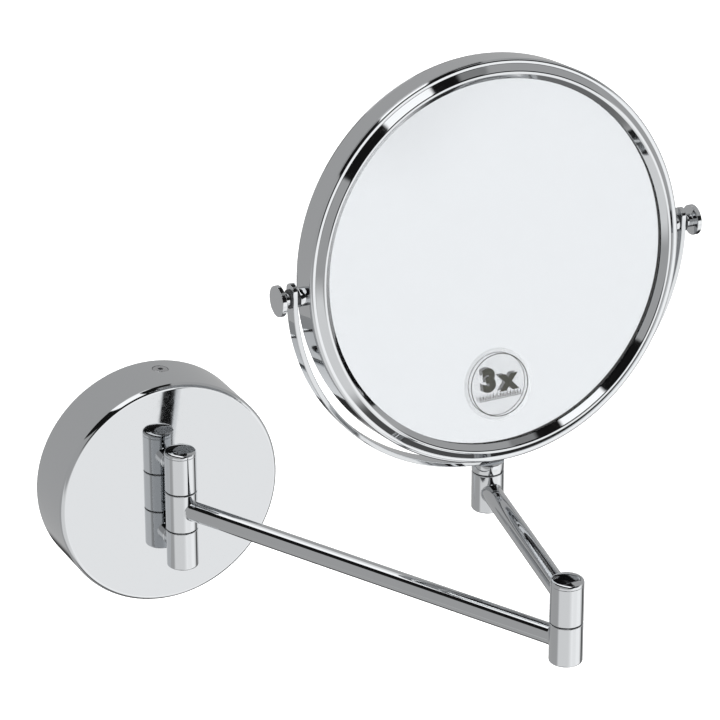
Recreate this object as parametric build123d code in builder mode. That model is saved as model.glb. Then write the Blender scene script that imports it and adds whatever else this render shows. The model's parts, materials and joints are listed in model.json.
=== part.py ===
from build123d import *
import os
from math import atan2, cos, degrees, radians, sin, sqrt

os.makedirs("parts", exist_ok=True)

# Extendable shaving mirror, in millimetres. The wall is the plane Y = 0 and the mirror stands out of it
# towards -Y. The origin is the centre of the wall plate's back face, and +Z is up.

# ---------------------------------------------------------------- driving dimensions
# Wall base: a shallow drum over a hidden bracket
BASE_RADIUS = 59.0
BASE_DEPTH = 32.0
COVER_WALL = 1.6
COVER_FACE = 3.0
COVER_EDGE_RADIUS = 2.5
BRACKET_GAP = 0.4
BRACKET_PLATE = 2.5
BRACKET_RIM_WALL = 2.4
BRACKET_RIM_DEPTH = 22.0
WALL_SCREW_PCD = 70.0
WALL_SCREW_HOLE_RADIUS = 2.6
WALL_SCREW_COUNT = 3
COVER_SCREW_SETBACK = 11.0
COVER_SCREW_TURN = 5.0
COVER_SCREW_HEAD_RADIUS = 4.0
COVER_SCREW_SHANK_RADIUS = 2.0
COVER_SCREW_ROOM = 0.15
COVER_SCREW_EDGE = 0.5
COVER_SEAT_BITE = 0.4
SCREW_TIP = 0.8
HEX_SOCKET_RADIUS = 1.25
HEX_SOCKET_DEPTH = 1.0
CUT_OVER = 1.0

# Hinge columns: stacked knuckles of one size, on pins
KNUCKLE_RADIUS = 8.0
KNUCKLE_HEIGHT = 20.2
CAPPED_HEIGHT = 19.4
KNUCKLE_EDGE = 0.3
COLUMN_END_RADIUS = 0.9
WASHER_THICKNESS = 0.6
WASHER_RADIUS = 7.3
PIN_RADIUS = 3.0
PIN_HEAD_RADIUS = 5.0
PIN_HEAD_HEIGHT = 2.5
PIN_DEPTH = 16.0
HEAD_POCKET_RADIUS = 5.4
HEAD_POCKET_DEPTH = 7.0
CAP_HEIGHT = 2.5
CAP_SHOULDER = 1.8
CAP_DOME = 0.8
PLUG_DEPTH = 2.4
RUNNING_GAP = 0.05
SEAT_GAP = 0.02
HAIR_GAP = 0.01
BLIND_CLEARANCE = 0.3
COLUMN_STANDOFF = 13.5
COLUMN_DROP = 2.5
STUB_RADIUS = 4.5
STUB_THREAD_RADIUS = 3.0
STUB_NUT_HEIGHT = 4.0
STUB_NUT_RADIUS = 6.0

# Arms, seen from above: angles are from straight out of the wall, towards +X
TUBE_RADIUS = 5.0
TUBE_WALL = 1.2
TUBE_RAISE = 0.9
INNER_ARM_LENGTH = 230.0
INNER_ARM_ANGLE = 26.7
OUTER_ARM_LENGTH = 122.0
OUTER_ARM_ANGLE = 169.2

# Yoke: a flat band bent round the lower half of the head
HEAD_HEIGHT = 140.0
YOKE_RADIUS = 106.0
YOKE_THICKNESS = 2.5
YOKE_WIDTH = 8.0
YOKE_EAR_RISE = 7.6
YOKE_PIN_SEAT = 2.5
YOKE_CRADLE = 1.0
YOKE_SCREW_RADIUS = 2.0
YOKE_SCREW_BITE = 8.0
YOKE_SCREW_STANDOFF = 0.08
YOKE_SCREW_EDGE = 0.4
YOKE_SCREW_HEAD_RADIUS = 3.5
YOKE_SCREW_HEAD_HEIGHT = 1.2

# Mirror head, two-sided, leaned back about the pivots
HEAD_RADIUS = 98.8
HEAD_TILT = 6.8
BAND_WALL = 1.8
BAND_HALF_DEPTH = 6.7
GLASS_RADIUS = 91.3
GLASS_THICKNESS = 2.5
GLASS_EDGE_FACE = 8.1
SIGHT_RADIUS = 89.3
GLASS_ROOM = 0.3
BEZEL_SIDE = 7.4
LEDGE_HEIGHT = 8.2
LEDGE_OUTER_RADIUS = 97.4
LEDGE_INNER_RADIUS = 96.4
CROWN_OUTER_RADIUS = 93.7
CROWN_INNER_RADIUS = 91.7
CROWN_SPRING = 10.5
CROWN_TOP = 10.9
SIGHT_EDGE = 0.3
RABBET_ROOM = 0.5
MAGNIFYING_CURVE_RADIUS = 800.0
CORE_WEB = 5.7
CORE_RING_WIDTH = 4.0
CORE_RING_ROOM = 0.6
CORE_RABBET = 1.0
CORE_GLASS_GAP = 0.1
LABEL_RADIUS = 17.5
LABEL_THICKNESS = 0.15
LABEL_X = -1.1
LABEL_DROP = 61.4

# Tilt pivots and their clamping knobs
STUD_RADIUS = 2.0
STUD_DEPTH = 4.0
STUD_END_ROOM = 0.2
BOSS_RADIUS = 4.6
BOSS_LENGTH = 3.4
BOSS_FOOT = 0.5
INNER_WASHER_RADIUS = 3.6
INNER_WASHER_ROOM = 0.1
OUTER_WASHER_RADIUS = 4.6
OUTER_WASHER_THICKNESS = 0.8
KNOB_RADIUS = 7.5
KNOB_THICKNESS = 2.5
KNOB_NECK_RADIUS = 3.3
KNOB_OUTER_FACE = 113.0
KNOB_END_WALL = 0.8
KNOB_EDGE = 0.35

# ---------------------------------------------------------------- positions worked out from them
knuckle_pitch = KNUCKLE_HEIGHT + WASHER_THICKNESS
column_y = -(BASE_DEPTH + COLUMN_STANDOFF)
middle_z = -COLUMN_DROP - KNUCKLE_HEIGHT / 2
lower_z = middle_z - knuckle_pitch
upper_z = middle_z + knuckle_pitch
seat_z = upper_z + knuckle_pitch


def along(angle):
    """Level direction at an angle from straight out of the wall, towards +X."""
    return Vector(sin(radians(angle)), -cos(radians(angle)), 0)


wall_axis = Vector(0, column_y, 0)
elbow_axis = wall_axis + along(INNER_ARM_ANGLE) * INNER_ARM_LENGTH
swivel_axis = elbow_axis + along(OUTER_ARM_ANGLE) * OUTER_ARM_LENGTH
head_centre = swivel_axis + Vector(0, 0, HEAD_HEIGHT)
head_normal = Vector(0, -cos(radians(HEAD_TILT)), sin(radians(HEAD_TILT)))
head_up = Vector(0, sin(radians(HEAD_TILT)), cos(radians(HEAD_TILT)))


def level(axis, z):
    """Horizontal plane at height z, centred on a column's axis."""
    return Plane(origin=(axis.X, axis.Y, z))


def outward(x, z, y=0.0):
    """Plane whose normal leaves the wall, centred at (x, y, z)."""
    return Plane(origin=(x, y, z), x_dir=(1, 0, 0), z_dir=(0, -1, 0))


def sideways(side, x):
    """Plane square to the tilt axis, x from the head's centre, facing out on side +1 or -1."""
    return Plane(origin=head_centre + Vector(side * x, 0, 0), x_dir=(0, 1, 0), z_dir=(side, 0, 0))


def finish(part, name):
    """Label a finished piece and write it as a STEP file of the same name."""
    part.part.label = name
    export_step(part.part, f"parts/{name}.step")


# ---------------------------------------------------------------- wall base
bracket_radius = BASE_RADIUS - COVER_WALL - BRACKET_GAP
screw_turn = radians(COVER_SCREW_TURN)
screw_out = Vector(sin(screw_turn), 0, cos(screw_turn))
screw_seat = screw_out * BASE_RADIUS - Vector(0, COVER_SCREW_SETBACK, 0)
screw_spot = Plane(screw_seat, x_dir=(0, 1, 0), z_dir=screw_out)

# Wall bracket: a flat plate with a rim that stands inside the drum
with BuildPart() as wall_bracket:
    with BuildSketch(outward(0, 0)):
        Circle(bracket_radius)
    extrude(amount=BRACKET_PLATE)
    with BuildSketch(outward(0, 0)):
        Circle(bracket_radius)
        Circle(bracket_radius - BRACKET_RIM_WALL, mode=Mode.SUBTRACT)
    extrude(amount=BRACKET_RIM_DEPTH)
    with BuildSketch(outward(0, 0)):
        with PolarLocations(WALL_SCREW_PCD / 2, WALL_SCREW_COUNT, start_angle=90):
            Circle(WALL_SCREW_HOLE_RADIUS)
    extrude(amount=BRACKET_PLATE, mode=Mode.SUBTRACT)
    with BuildSketch(screw_spot):
        Circle(COVER_SCREW_SHANK_RADIUS + SEAT_GAP)
    extrude(amount=-(BASE_RADIUS - bracket_radius + BRACKET_RIM_WALL + CUT_OVER), mode=Mode.SUBTRACT)
finish(wall_bracket, "wall_bracket")

# Base cover: a spun drum, open at the wall, with a rounded front edge
with BuildPart() as base_cover:
    with BuildSketch(Plane.XY):
        with BuildLine():
            edge_start = BASE_RADIUS - COVER_EDGE_RADIUS
            Line((0, -BASE_DEPTH), (edge_start, -BASE_DEPTH))
            CenterArc((edge_start, -BASE_DEPTH + COVER_EDGE_RADIUS), COVER_EDGE_RADIUS, -90, 90)
            Polyline(
                (BASE_RADIUS, -BASE_DEPTH + COVER_EDGE_RADIUS),
                (BASE_RADIUS, 0),
                (BASE_RADIUS - COVER_WALL, 0),
                (BASE_RADIUS - COVER_WALL, -BASE_DEPTH + COVER_FACE),
                (0, -BASE_DEPTH + COVER_FACE),
                (0, -BASE_DEPTH),
            )
        make_face()
    revolve(axis=Axis.Y)
    for stub_z in (upper_z, lower_z):
        with BuildSketch(outward(0, stub_z + KNUCKLE_HEIGHT / 2, -BASE_DEPTH)):
            Circle(STUB_THREAD_RADIUS + SEAT_GAP)
        extrude(amount=-COVER_FACE, mode=Mode.SUBTRACT)
    with BuildSketch(screw_spot):
        Circle(COVER_SCREW_HEAD_RADIUS + COVER_SCREW_ROOM)
    extrude(amount=-(COVER_WALL + COVER_SEAT_BITE), mode=Mode.SUBTRACT)
finish(base_cover, "base_cover")

# Cover screw: a low button with a hex socket, set into the drum's side at the top
with BuildPart() as cover_screw:
    with BuildSketch(screw_spot.offset(-COVER_WALL)):
        Circle(COVER_SCREW_HEAD_RADIUS)
    extrude(amount=COVER_WALL)
    fillet(cover_screw.edges().sort_by(Axis((0, 0, 0), screw_out))[-1], COVER_SCREW_EDGE)
    with BuildSketch(screw_spot.offset(-COVER_WALL)):
        Circle(COVER_SCREW_SHANK_RADIUS)
    extrude(amount=-(BRACKET_GAP + BRACKET_RIM_WALL + SCREW_TIP))
    with BuildSketch(screw_spot):
        RegularPolygon(HEX_SOCKET_RADIUS, 6, major_radius=False)
    extrude(amount=-HEX_SOCKET_DEPTH, mode=Mode.SUBTRACT)
finish(cover_screw, "cover_screw")


# ---------------------------------------------------------------- hinge columns
def knuckle(axis, bottom, bore, height=KNUCKLE_HEIGHT, low_end=False, head_pocket=0, blind=False):
    """One knuckle with its pin bore. head_pocket is +1 for a pocket in the top, -1 in the bottom."""
    with BuildPart() as part:
        with BuildSketch(level(axis, bottom)):
            Circle(KNUCKLE_RADIUS)
        extrude(amount=height)
        chamfer(part.edges().filter_by(GeomType.CIRCLE).sort_by(Axis.Z)[-1], KNUCKLE_EDGE)
        foot = part.edges().filter_by(GeomType.CIRCLE).sort_by(Axis.Z)[0]
        if low_end:
            fillet(foot, COLUMN_END_RADIUS)
        else:
            chamfer(foot, KNUCKLE_EDGE)
        with BuildSketch(level(axis, bottom + height)):
            Circle(bore)
        extrude(amount=-(PIN_DEPTH + BLIND_CLEARANCE if blind else height), mode=Mode.SUBTRACT)
        if head_pocket:
            pocket_face = bottom + (height if head_pocket > 0 else 0)
            with BuildSketch(level(axis, pocket_face)):
                Circle(HEAD_POCKET_RADIUS)
            extrude(amount=-head_pocket * HEAD_POCKET_DEPTH, mode=Mode.SUBTRACT)
    return part


def washer(axis, bottom):
    """Thin nylon washer between two knuckles."""
    with BuildPart() as part:
        with BuildSketch(level(axis, bottom)):
            Circle(WASHER_RADIUS)
            Circle(PIN_RADIUS + RUNNING_GAP, mode=Mode.SUBTRACT)
        extrude(amount=WASHER_THICKNESS - RUNNING_GAP)
    return part


def headed_pin(axis, bottom, head_bottom):
    """Pin that rises from bottom to the underside of its head, then the head."""
    with BuildPart() as part:
        with BuildSketch(level(axis, bottom)):
            Circle(PIN_RADIUS)
        extrude(amount=head_bottom - bottom)
        with BuildSketch(level(axis, head_bottom)):
            Circle(PIN_HEAD_RADIUS)
        extrude(amount=PIN_HEAD_HEIGHT)
    return part


def column_cap(axis, bottom):
    """Cap whose rounded shoulder runs into a shallow dome, with a spigot that plugs the head pocket."""
    with BuildPart() as part:
        section = Plane(origin=(axis.X, axis.Y, bottom), x_dir=(1, 0, 0), z_dir=(0, -1, 0))
        shoulder = KNUCKLE_RADIUS - CAP_SHOULDER
        dome_lean = 2 * degrees(atan2(CAP_DOME, shoulder))
        dome_radius = (shoulder**2 + CAP_DOME**2) / (2 * CAP_DOME) + CAP_SHOULDER
        spigot = HEAD_POCKET_RADIUS - SEAT_GAP
        with BuildSketch(section):
            with BuildLine():
                Polyline(
                    (0, -PLUG_DEPTH),
                    (spigot, -PLUG_DEPTH),
                    (spigot, 0),
                    (KNUCKLE_RADIUS - KNUCKLE_EDGE, 0),
                    (KNUCKLE_RADIUS, KNUCKLE_EDGE),
                    (KNUCKLE_RADIUS, CAP_HEIGHT - CAP_SHOULDER),
                )
                rim = CenterArc((shoulder, CAP_HEIGHT - CAP_SHOULDER), CAP_SHOULDER, 0, 90 - dome_lean)
                RadiusArc(rim @ 1, (0, CAP_HEIGHT + CAP_DOME), -dome_radius)
                Line((0, CAP_HEIGHT + CAP_DOME), (0, -PLUG_DEPTH))
            make_face()
        revolve(axis=Axis((axis.X, axis.Y, 0), (0, 0, 1)))
    return part


fixed_bore = PIN_RADIUS + SEAT_GAP
running_bore = PIN_RADIUS + RUNNING_GAP

# Wall column: the outer knuckles are fixed and the middle one turns with the inner arm
finish(knuckle(wall_axis, upper_z, fixed_bore, CAPPED_HEIGHT, head_pocket=1), "wall_knuckle_upper")
finish(knuckle(wall_axis, lower_z, fixed_bore, low_end=True, blind=True), "wall_knuckle_lower")
finish(knuckle(wall_axis, middle_z, running_bore), "wall_knuckle_middle")
pocket_floor = upper_z + CAPPED_HEIGHT - HEAD_POCKET_DEPTH
wall_pin_bottom = lower_z + KNUCKLE_HEIGHT - PIN_DEPTH
finish(headed_pin(wall_axis, wall_pin_bottom, pocket_floor + RUNNING_GAP), "wall_hinge_pin")
finish(column_cap(wall_axis, upper_z + CAPPED_HEIGHT), "wall_column_cap")
finish(washer(wall_axis, middle_z + KNUCKLE_HEIGHT + RUNNING_GAP), "wall_washer_upper")
finish(washer(wall_axis, middle_z - WASHER_THICKNESS), "wall_washer_lower")

# Stubs: short posts that carry the two fixed knuckles, held by nuts behind the drum's face
for name, bottom in (("upper", upper_z), ("lower", lower_z)):
    stub_z = bottom + KNUCKLE_HEIGHT / 2
    with BuildPart() as wall_stub:
        with BuildSketch(outward(0, stub_z, -BASE_DEPTH)):
            Circle(STUB_RADIUS)
        extrude(amount=COLUMN_STANDOFF)
        with BuildSketch(level(wall_axis, bottom)):
            Circle(KNUCKLE_RADIUS + SEAT_GAP)
        extrude(amount=KNUCKLE_HEIGHT, mode=Mode.SUBTRACT)
        with BuildSketch(outward(0, stub_z, -BASE_DEPTH)):
            Circle(STUB_THREAD_RADIUS)
        extrude(amount=-(COVER_FACE + STUB_NUT_HEIGHT + CUT_OVER))
    finish(wall_stub, f"wall_stub_{name}")
    with BuildPart() as stub_nut:
        with BuildSketch(outward(0, stub_z, -BASE_DEPTH + COVER_FACE)):
            RegularPolygon(STUB_NUT_RADIUS, 6)
            Circle(STUB_THREAD_RADIUS + SEAT_GAP, mode=Mode.SUBTRACT)
        extrude(amount=-STUB_NUT_HEIGHT)
    finish(stub_nut, f"stub_nut_{name}")

# Elbow column: the lower knuckle ends the inner arm, the upper one starts the outer arm
finish(knuckle(elbow_axis, middle_z, fixed_bore, low_end=True, blind=True), "elbow_knuckle_lower")
finish(knuckle(elbow_axis, upper_z, running_bore, CAPPED_HEIGHT, head_pocket=1), "elbow_knuckle_upper")
elbow_pin_bottom = middle_z + KNUCKLE_HEIGHT - PIN_DEPTH
finish(headed_pin(elbow_axis, elbow_pin_bottom, pocket_floor + RUNNING_GAP), "elbow_pin")
finish(column_cap(elbow_axis, upper_z + CAPPED_HEIGHT), "elbow_cap")
finish(washer(elbow_axis, middle_z + KNUCKLE_HEIGHT), "elbow_washer")

# Swivel column: the outer arm's last knuckle, with the pin's head hidden by a plug in its foot
finish(knuckle(swivel_axis, upper_z, running_bore, low_end=True, head_pocket=-1), "swivel_knuckle")
finish(washer(swivel_axis, upper_z + KNUCKLE_HEIGHT), "swivel_washer")
with BuildPart() as swivel_plug:
    with BuildSketch(level(swivel_axis, upper_z)):
        Circle(HEAD_POCKET_RADIUS - SEAT_GAP)
    extrude(amount=PLUG_DEPTH)
finish(swivel_plug, "swivel_plug")


# ---------------------------------------------------------------- arms
def arm_tube(start, end, bottom):
    """Tube between two columns, its ends cut to sit on the round knuckles."""
    run = end - start
    centre_z = bottom + KNUCKLE_HEIGHT / 2 + TUBE_RAISE
    with BuildPart() as part:
        with BuildSketch(Plane(origin=(start.X, start.Y, centre_z), x_dir=(0, 0, 1), z_dir=run)):
            Circle(TUBE_RADIUS)
            Circle(TUBE_RADIUS - TUBE_WALL, mode=Mode.SUBTRACT)
        extrude(amount=run.length)
        for axis in (start, end):
            with BuildSketch(level(axis, bottom)):
                Circle(KNUCKLE_RADIUS + SEAT_GAP)
            extrude(amount=KNUCKLE_HEIGHT, mode=Mode.SUBTRACT)
    return part


finish(arm_tube(wall_axis, elbow_axis, middle_z), "inner_arm_tube")
finish(arm_tube(elbow_axis, swivel_axis, upper_z), "outer_arm_tube")

# ---------------------------------------------------------------- yoke
yoke_inner = YOKE_RADIUS - YOKE_THICKNESS
yoke_foot = HEAD_HEIGHT - YOKE_RADIUS
front = Plane(origin=head_centre, x_dir=(1, 0, 0), z_dir=(0, -1, 0))

# Band: half a ring below the pivots, then two short straight ears with full round tops
with BuildPart() as yoke_band:
    with BuildSketch(front):
        with BuildLine():
            CenterArc((0, 0), YOKE_RADIUS, 180, 180)
            CenterArc((0, 0), yoke_inner, 180, 180)
            for side in (-1, 1):
                Polyline(
                    (side * YOKE_RADIUS, 0),
                    (side * YOKE_RADIUS, YOKE_EAR_RISE),
                    (side * yoke_inner, YOKE_EAR_RISE),
                    (side * yoke_inner, 0),
                )
        make_face()
    extrude(amount=YOKE_WIDTH / 2, both=True)
    ear_tops = yoke_band.faces().filter_by(Axis.Z).group_by(Axis.Z)[-1]
    fillet(ear_tops.edges().filter_by(Axis.X), YOKE_WIDTH / 2 - HAIR_GAP)
    for side in (-1, 1):
        with BuildSketch(sideways(side, YOKE_RADIUS)):
            Circle(STUD_RADIUS + RUNNING_GAP)
        extrude(amount=-(YOKE_THICKNESS + CUT_OVER), mode=Mode.SUBTRACT)
    with BuildSketch(level(swivel_axis, yoke_foot)):
        Circle(YOKE_SCREW_RADIUS + SEAT_GAP)
    extrude(amount=YOKE_THICKNESS + CUT_OVER, mode=Mode.SUBTRACT)
finish(yoke_band, "yoke_band")

# Seat: the short top knuckle of the swivel, hollowed on top to cradle the band
pin_top = seat_z + YOKE_PIN_SEAT
with BuildPart() as yoke_seat:
    with BuildSketch(level(swivel_axis, seat_z)):
        Circle(KNUCKLE_RADIUS)
    extrude(amount=yoke_foot + YOKE_CRADLE - seat_z)
    chamfer(yoke_seat.edges().filter_by(GeomType.CIRCLE).sort_by(Axis.Z)[0], KNUCKLE_EDGE)
    with BuildSketch(front):
        Circle(YOKE_RADIUS + SEAT_GAP)
    extrude(amount=KNUCKLE_RADIUS + CUT_OVER, both=True, mode=Mode.SUBTRACT)
    with BuildSketch(level(swivel_axis, seat_z)):
        Circle(fixed_bore)
    extrude(amount=pin_top - seat_z + RUNNING_GAP, mode=Mode.SUBTRACT)
    with BuildSketch(level(swivel_axis, seat_z)):
        Circle(YOKE_SCREW_RADIUS + SEAT_GAP)
    extrude(amount=yoke_foot + YOKE_CRADLE - seat_z, mode=Mode.SUBTRACT)
finish(yoke_seat, "yoke_seat")

# Swivel pin: headed at the bottom, running in the swivel knuckle and seated in the yoke seat
pin_head_top = upper_z + HEAD_POCKET_DEPTH - RUNNING_GAP
with BuildPart() as swivel_pin:
    with BuildSketch(level(swivel_axis, pin_head_top - PIN_HEAD_HEIGHT)):
        Circle(PIN_HEAD_RADIUS)
    extrude(amount=PIN_HEAD_HEIGHT)
    with BuildSketch(level(swivel_axis, pin_head_top)):
        Circle(PIN_RADIUS)
    extrude(amount=pin_top - pin_head_top)
    with BuildSketch(level(swivel_axis, pin_top)):
        Circle(YOKE_SCREW_RADIUS + SEAT_GAP)
    extrude(amount=-YOKE_SCREW_BITE, mode=Mode.SUBTRACT)
finish(swivel_pin, "swivel_pin")

# Yoke screw: low head inside the band, shank through band and seat into the pin
screw_foot = pin_top - YOKE_SCREW_BITE + BLIND_CLEARANCE
screw_head = yoke_foot + YOKE_THICKNESS + YOKE_SCREW_STANDOFF
with BuildPart() as yoke_screw:
    with BuildSketch(level(swivel_axis, screw_foot)):
        Circle(YOKE_SCREW_RADIUS)
    extrude(amount=screw_head - screw_foot)
    with BuildSketch(level(swivel_axis, screw_head)):
        Circle(YOKE_SCREW_HEAD_RADIUS)
    extrude(amount=YOKE_SCREW_HEAD_HEIGHT)
    fillet(yoke_screw.edges().filter_by(GeomType.CIRCLE).sort_by(Axis.Z)[-1], YOKE_SCREW_EDGE)
    with BuildSketch(level(swivel_axis, screw_head + YOKE_SCREW_HEAD_HEIGHT)):
        RegularPolygon(HEX_SOCKET_RADIUS, 6, major_radius=False)
    extrude(amount=-HEX_SOCKET_DEPTH, mode=Mode.SUBTRACT)
finish(yoke_screw, "yoke_screw")

# ---------------------------------------------------------------- mirror head
head_axis = Axis(head_centre, head_normal)
head_section = Plane(origin=head_centre, x_dir=(1, 0, 0), z_dir=-head_up)
band_inner = HEAD_RADIUS - BAND_WALL


def head_plane(depth):
    """Plane square to the head's axis, at a depth towards the viewer."""
    return Plane(origin=head_centre + head_normal * depth, x_dir=(1, 0, 0), z_dir=head_normal)


# Rim band: the plain cylinder round the edge, drilled for the two studs
with BuildPart() as rim_band:
    with BuildSketch(head_plane(-BAND_HALF_DEPTH)):
        Circle(HEAD_RADIUS)
        Circle(band_inner, mode=Mode.SUBTRACT)
    extrude(amount=2 * BAND_HALF_DEPTH)
    for side in (-1, 1):
        with BuildSketch(sideways(side, HEAD_RADIUS + CUT_OVER)):
            Circle(STUD_RADIUS + SEAT_GAP)
        extrude(amount=-(BAND_WALL + 2 * CUT_OVER), mode=Mode.SUBTRACT)
finish(rim_band, "rim_band")


# Bezels: rounded shoulder, flat ledge, and a lip that rises to a crown and falls to the glass, with a
# rabbet behind it
def bezel(facing):
    """Spun bezel ring. facing is +1 for the viewer's side and -1 for the wall's side."""
    joint = BAND_HALF_DEPTH + SEAT_GAP
    rabbet = GLASS_EDGE_FACE - GLASS_THICKNESS - RABBET_ROOM
    lip_back = GLASS_EDGE_FACE + SEAT_GAP
    side_end = (HEAD_RADIUS, facing * BEZEL_SIDE)
    ledge_outer = (LEDGE_OUTER_RADIUS, facing * LEDGE_HEIGHT)
    crown_outer = (CROWN_OUTER_RADIUS, facing * CROWN_SPRING)
    crown_top = ((CROWN_OUTER_RADIUS + CROWN_INNER_RADIUS) / 2, facing * CROWN_TOP)
    crown_inner = (CROWN_INNER_RADIUS, facing * CROWN_SPRING)
    with BuildPart() as part:
        with BuildSketch(head_section):
            with BuildLine():
                Line((HEAD_RADIUS, facing * joint), side_end)
                TangentArc(ledge_outer, side_end, tangent=(1, 0))
                Polyline(ledge_outer, (LEDGE_INNER_RADIUS, facing * LEDGE_HEIGHT), crown_outer)
                ThreePointArc(crown_outer, crown_top, crown_inner)
                Polyline(
                    crown_inner,
                    (SIGHT_RADIUS, facing * (lip_back + SIGHT_EDGE)),
                    (SIGHT_RADIUS, facing * lip_back),
                    (GLASS_RADIUS + GLASS_ROOM, facing * lip_back),
                    (GLASS_RADIUS + GLASS_ROOM, facing * rabbet),
                    (band_inner - SEAT_GAP, facing * rabbet),
                    (band_inner - SEAT_GAP, facing * joint),
                    (HEAD_RADIUS, facing * joint),
                )
            make_face()
        revolve(axis=head_axis)
    return part


finish(bezel(1), "front_bezel")
finish(bezel(-1), "rear_bezel")


def curve_depth(radius):
    """How far the concave face lies behind its own edge at a given radius."""
    edge = sqrt(MAGNIFYING_CURVE_RADIUS**2 - GLASS_RADIUS**2)
    return sqrt(MAGNIFYING_CURVE_RADIUS**2 - radius**2) - edge


# Magnifying glass: a slumped disc of even thickness, hollow towards the viewer
with BuildPart() as magnifying_glass:
    with BuildSketch(head_section):
        with BuildLine():
            for face in (GLASS_EDGE_FACE, GLASS_EDGE_FACE - GLASS_THICKNESS):
                ThreePointArc(
                    (0, face - curve_depth(0)),
                    (GLASS_RADIUS / 2, face - curve_depth(GLASS_RADIUS / 2)),
                    (GLASS_RADIUS, face),
                )
                depth_at_axis = face - curve_depth(0)
            Line((GLASS_RADIUS, GLASS_EDGE_FACE), (GLASS_RADIUS, GLASS_EDGE_FACE - GLASS_THICKNESS))
            Line((0, depth_at_axis), (0, depth_at_axis + GLASS_THICKNESS))
        make_face()
    revolve(axis=head_axis)
finish(magnifying_glass, "magnifying_glass")

# Plain glass on the wall's side
with BuildPart() as plain_glass:
    with BuildSketch(head_plane(-GLASS_EDGE_FACE)):
        Circle(GLASS_RADIUS)
    extrude(amount=GLASS_THICKNESS)
finish(plain_glass, "plain_glass")

# Core: a moulded dish that keeps the two glasses apart, drilled for the studs
with BuildPart() as head_core:
    core_back = GLASS_THICKNESS - GLASS_EDGE_FACE + CORE_GLASS_GAP
    core_rim = GLASS_EDGE_FACE - GLASS_THICKNESS - CORE_RING_ROOM
    with BuildSketch(head_plane(core_back)):
        Circle(GLASS_RADIUS)
    extrude(amount=CORE_WEB)
    with BuildSketch(head_plane(-core_rim)):
        Circle(band_inner - SEAT_GAP)
        Circle(GLASS_RADIUS - CORE_RING_WIDTH, mode=Mode.SUBTRACT)
    extrude(amount=2 * core_rim)
    with BuildSketch(head_plane(GLASS_EDGE_FACE - GLASS_THICKNESS)):
        Circle(GLASS_RADIUS + GLASS_ROOM)
    extrude(amount=-CORE_RABBET, mode=Mode.SUBTRACT)
    for side in (-1, 1):
        with BuildSketch(sideways(side, HEAD_RADIUS)):
            Circle(STUD_RADIUS + SEAT_GAP)
        extrude(amount=-(STUD_DEPTH + BLIND_CLEARANCE), mode=Mode.SUBTRACT)
finish(head_core, "head_core")

# Magnification label: a thin round sticker that follows the concave face
with BuildPart() as magnification_label:
    with BuildSketch(head_section):
        with BuildLine():
            label_back = GLASS_EDGE_FACE + HAIR_GAP
            for face in (label_back, label_back + LABEL_THICKNESS):
                ThreePointArc(
                    (0, face - curve_depth(0)),
                    (GLASS_RADIUS / 2, face - curve_depth(GLASS_RADIUS / 2)),
                    (GLASS_RADIUS, face),
                )
                label_at_axis = face - curve_depth(0)
            Line((GLASS_RADIUS, face), (GLASS_RADIUS, face - LABEL_THICKNESS))
            Line((0, label_at_axis), (0, label_at_axis - LABEL_THICKNESS))
        make_face()
    revolve(axis=head_axis)
    label_spot = head_centre + Vector(LABEL_X, 0, 0) - head_up * LABEL_DROP
    with BuildSketch(Plane(origin=label_spot, x_dir=(1, 0, 0), z_dir=head_normal)):
        Circle(LABEL_RADIUS)
    extrude(amount=HEAD_RADIUS / 4, mode=Mode.INTERSECT)
finish(magnification_label, "magnification_label")

# ---------------------------------------------------------------- tilt pivots and knobs
knob_back = KNOB_OUTER_FACE - KNOB_THICKNESS
knob_bore_end = KNOB_OUTER_FACE - KNOB_END_WALL
boss_end = HEAD_RADIUS + BOSS_LENGTH
outer_washer_end = YOKE_RADIUS + OUTER_WASHER_THICKNESS

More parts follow.
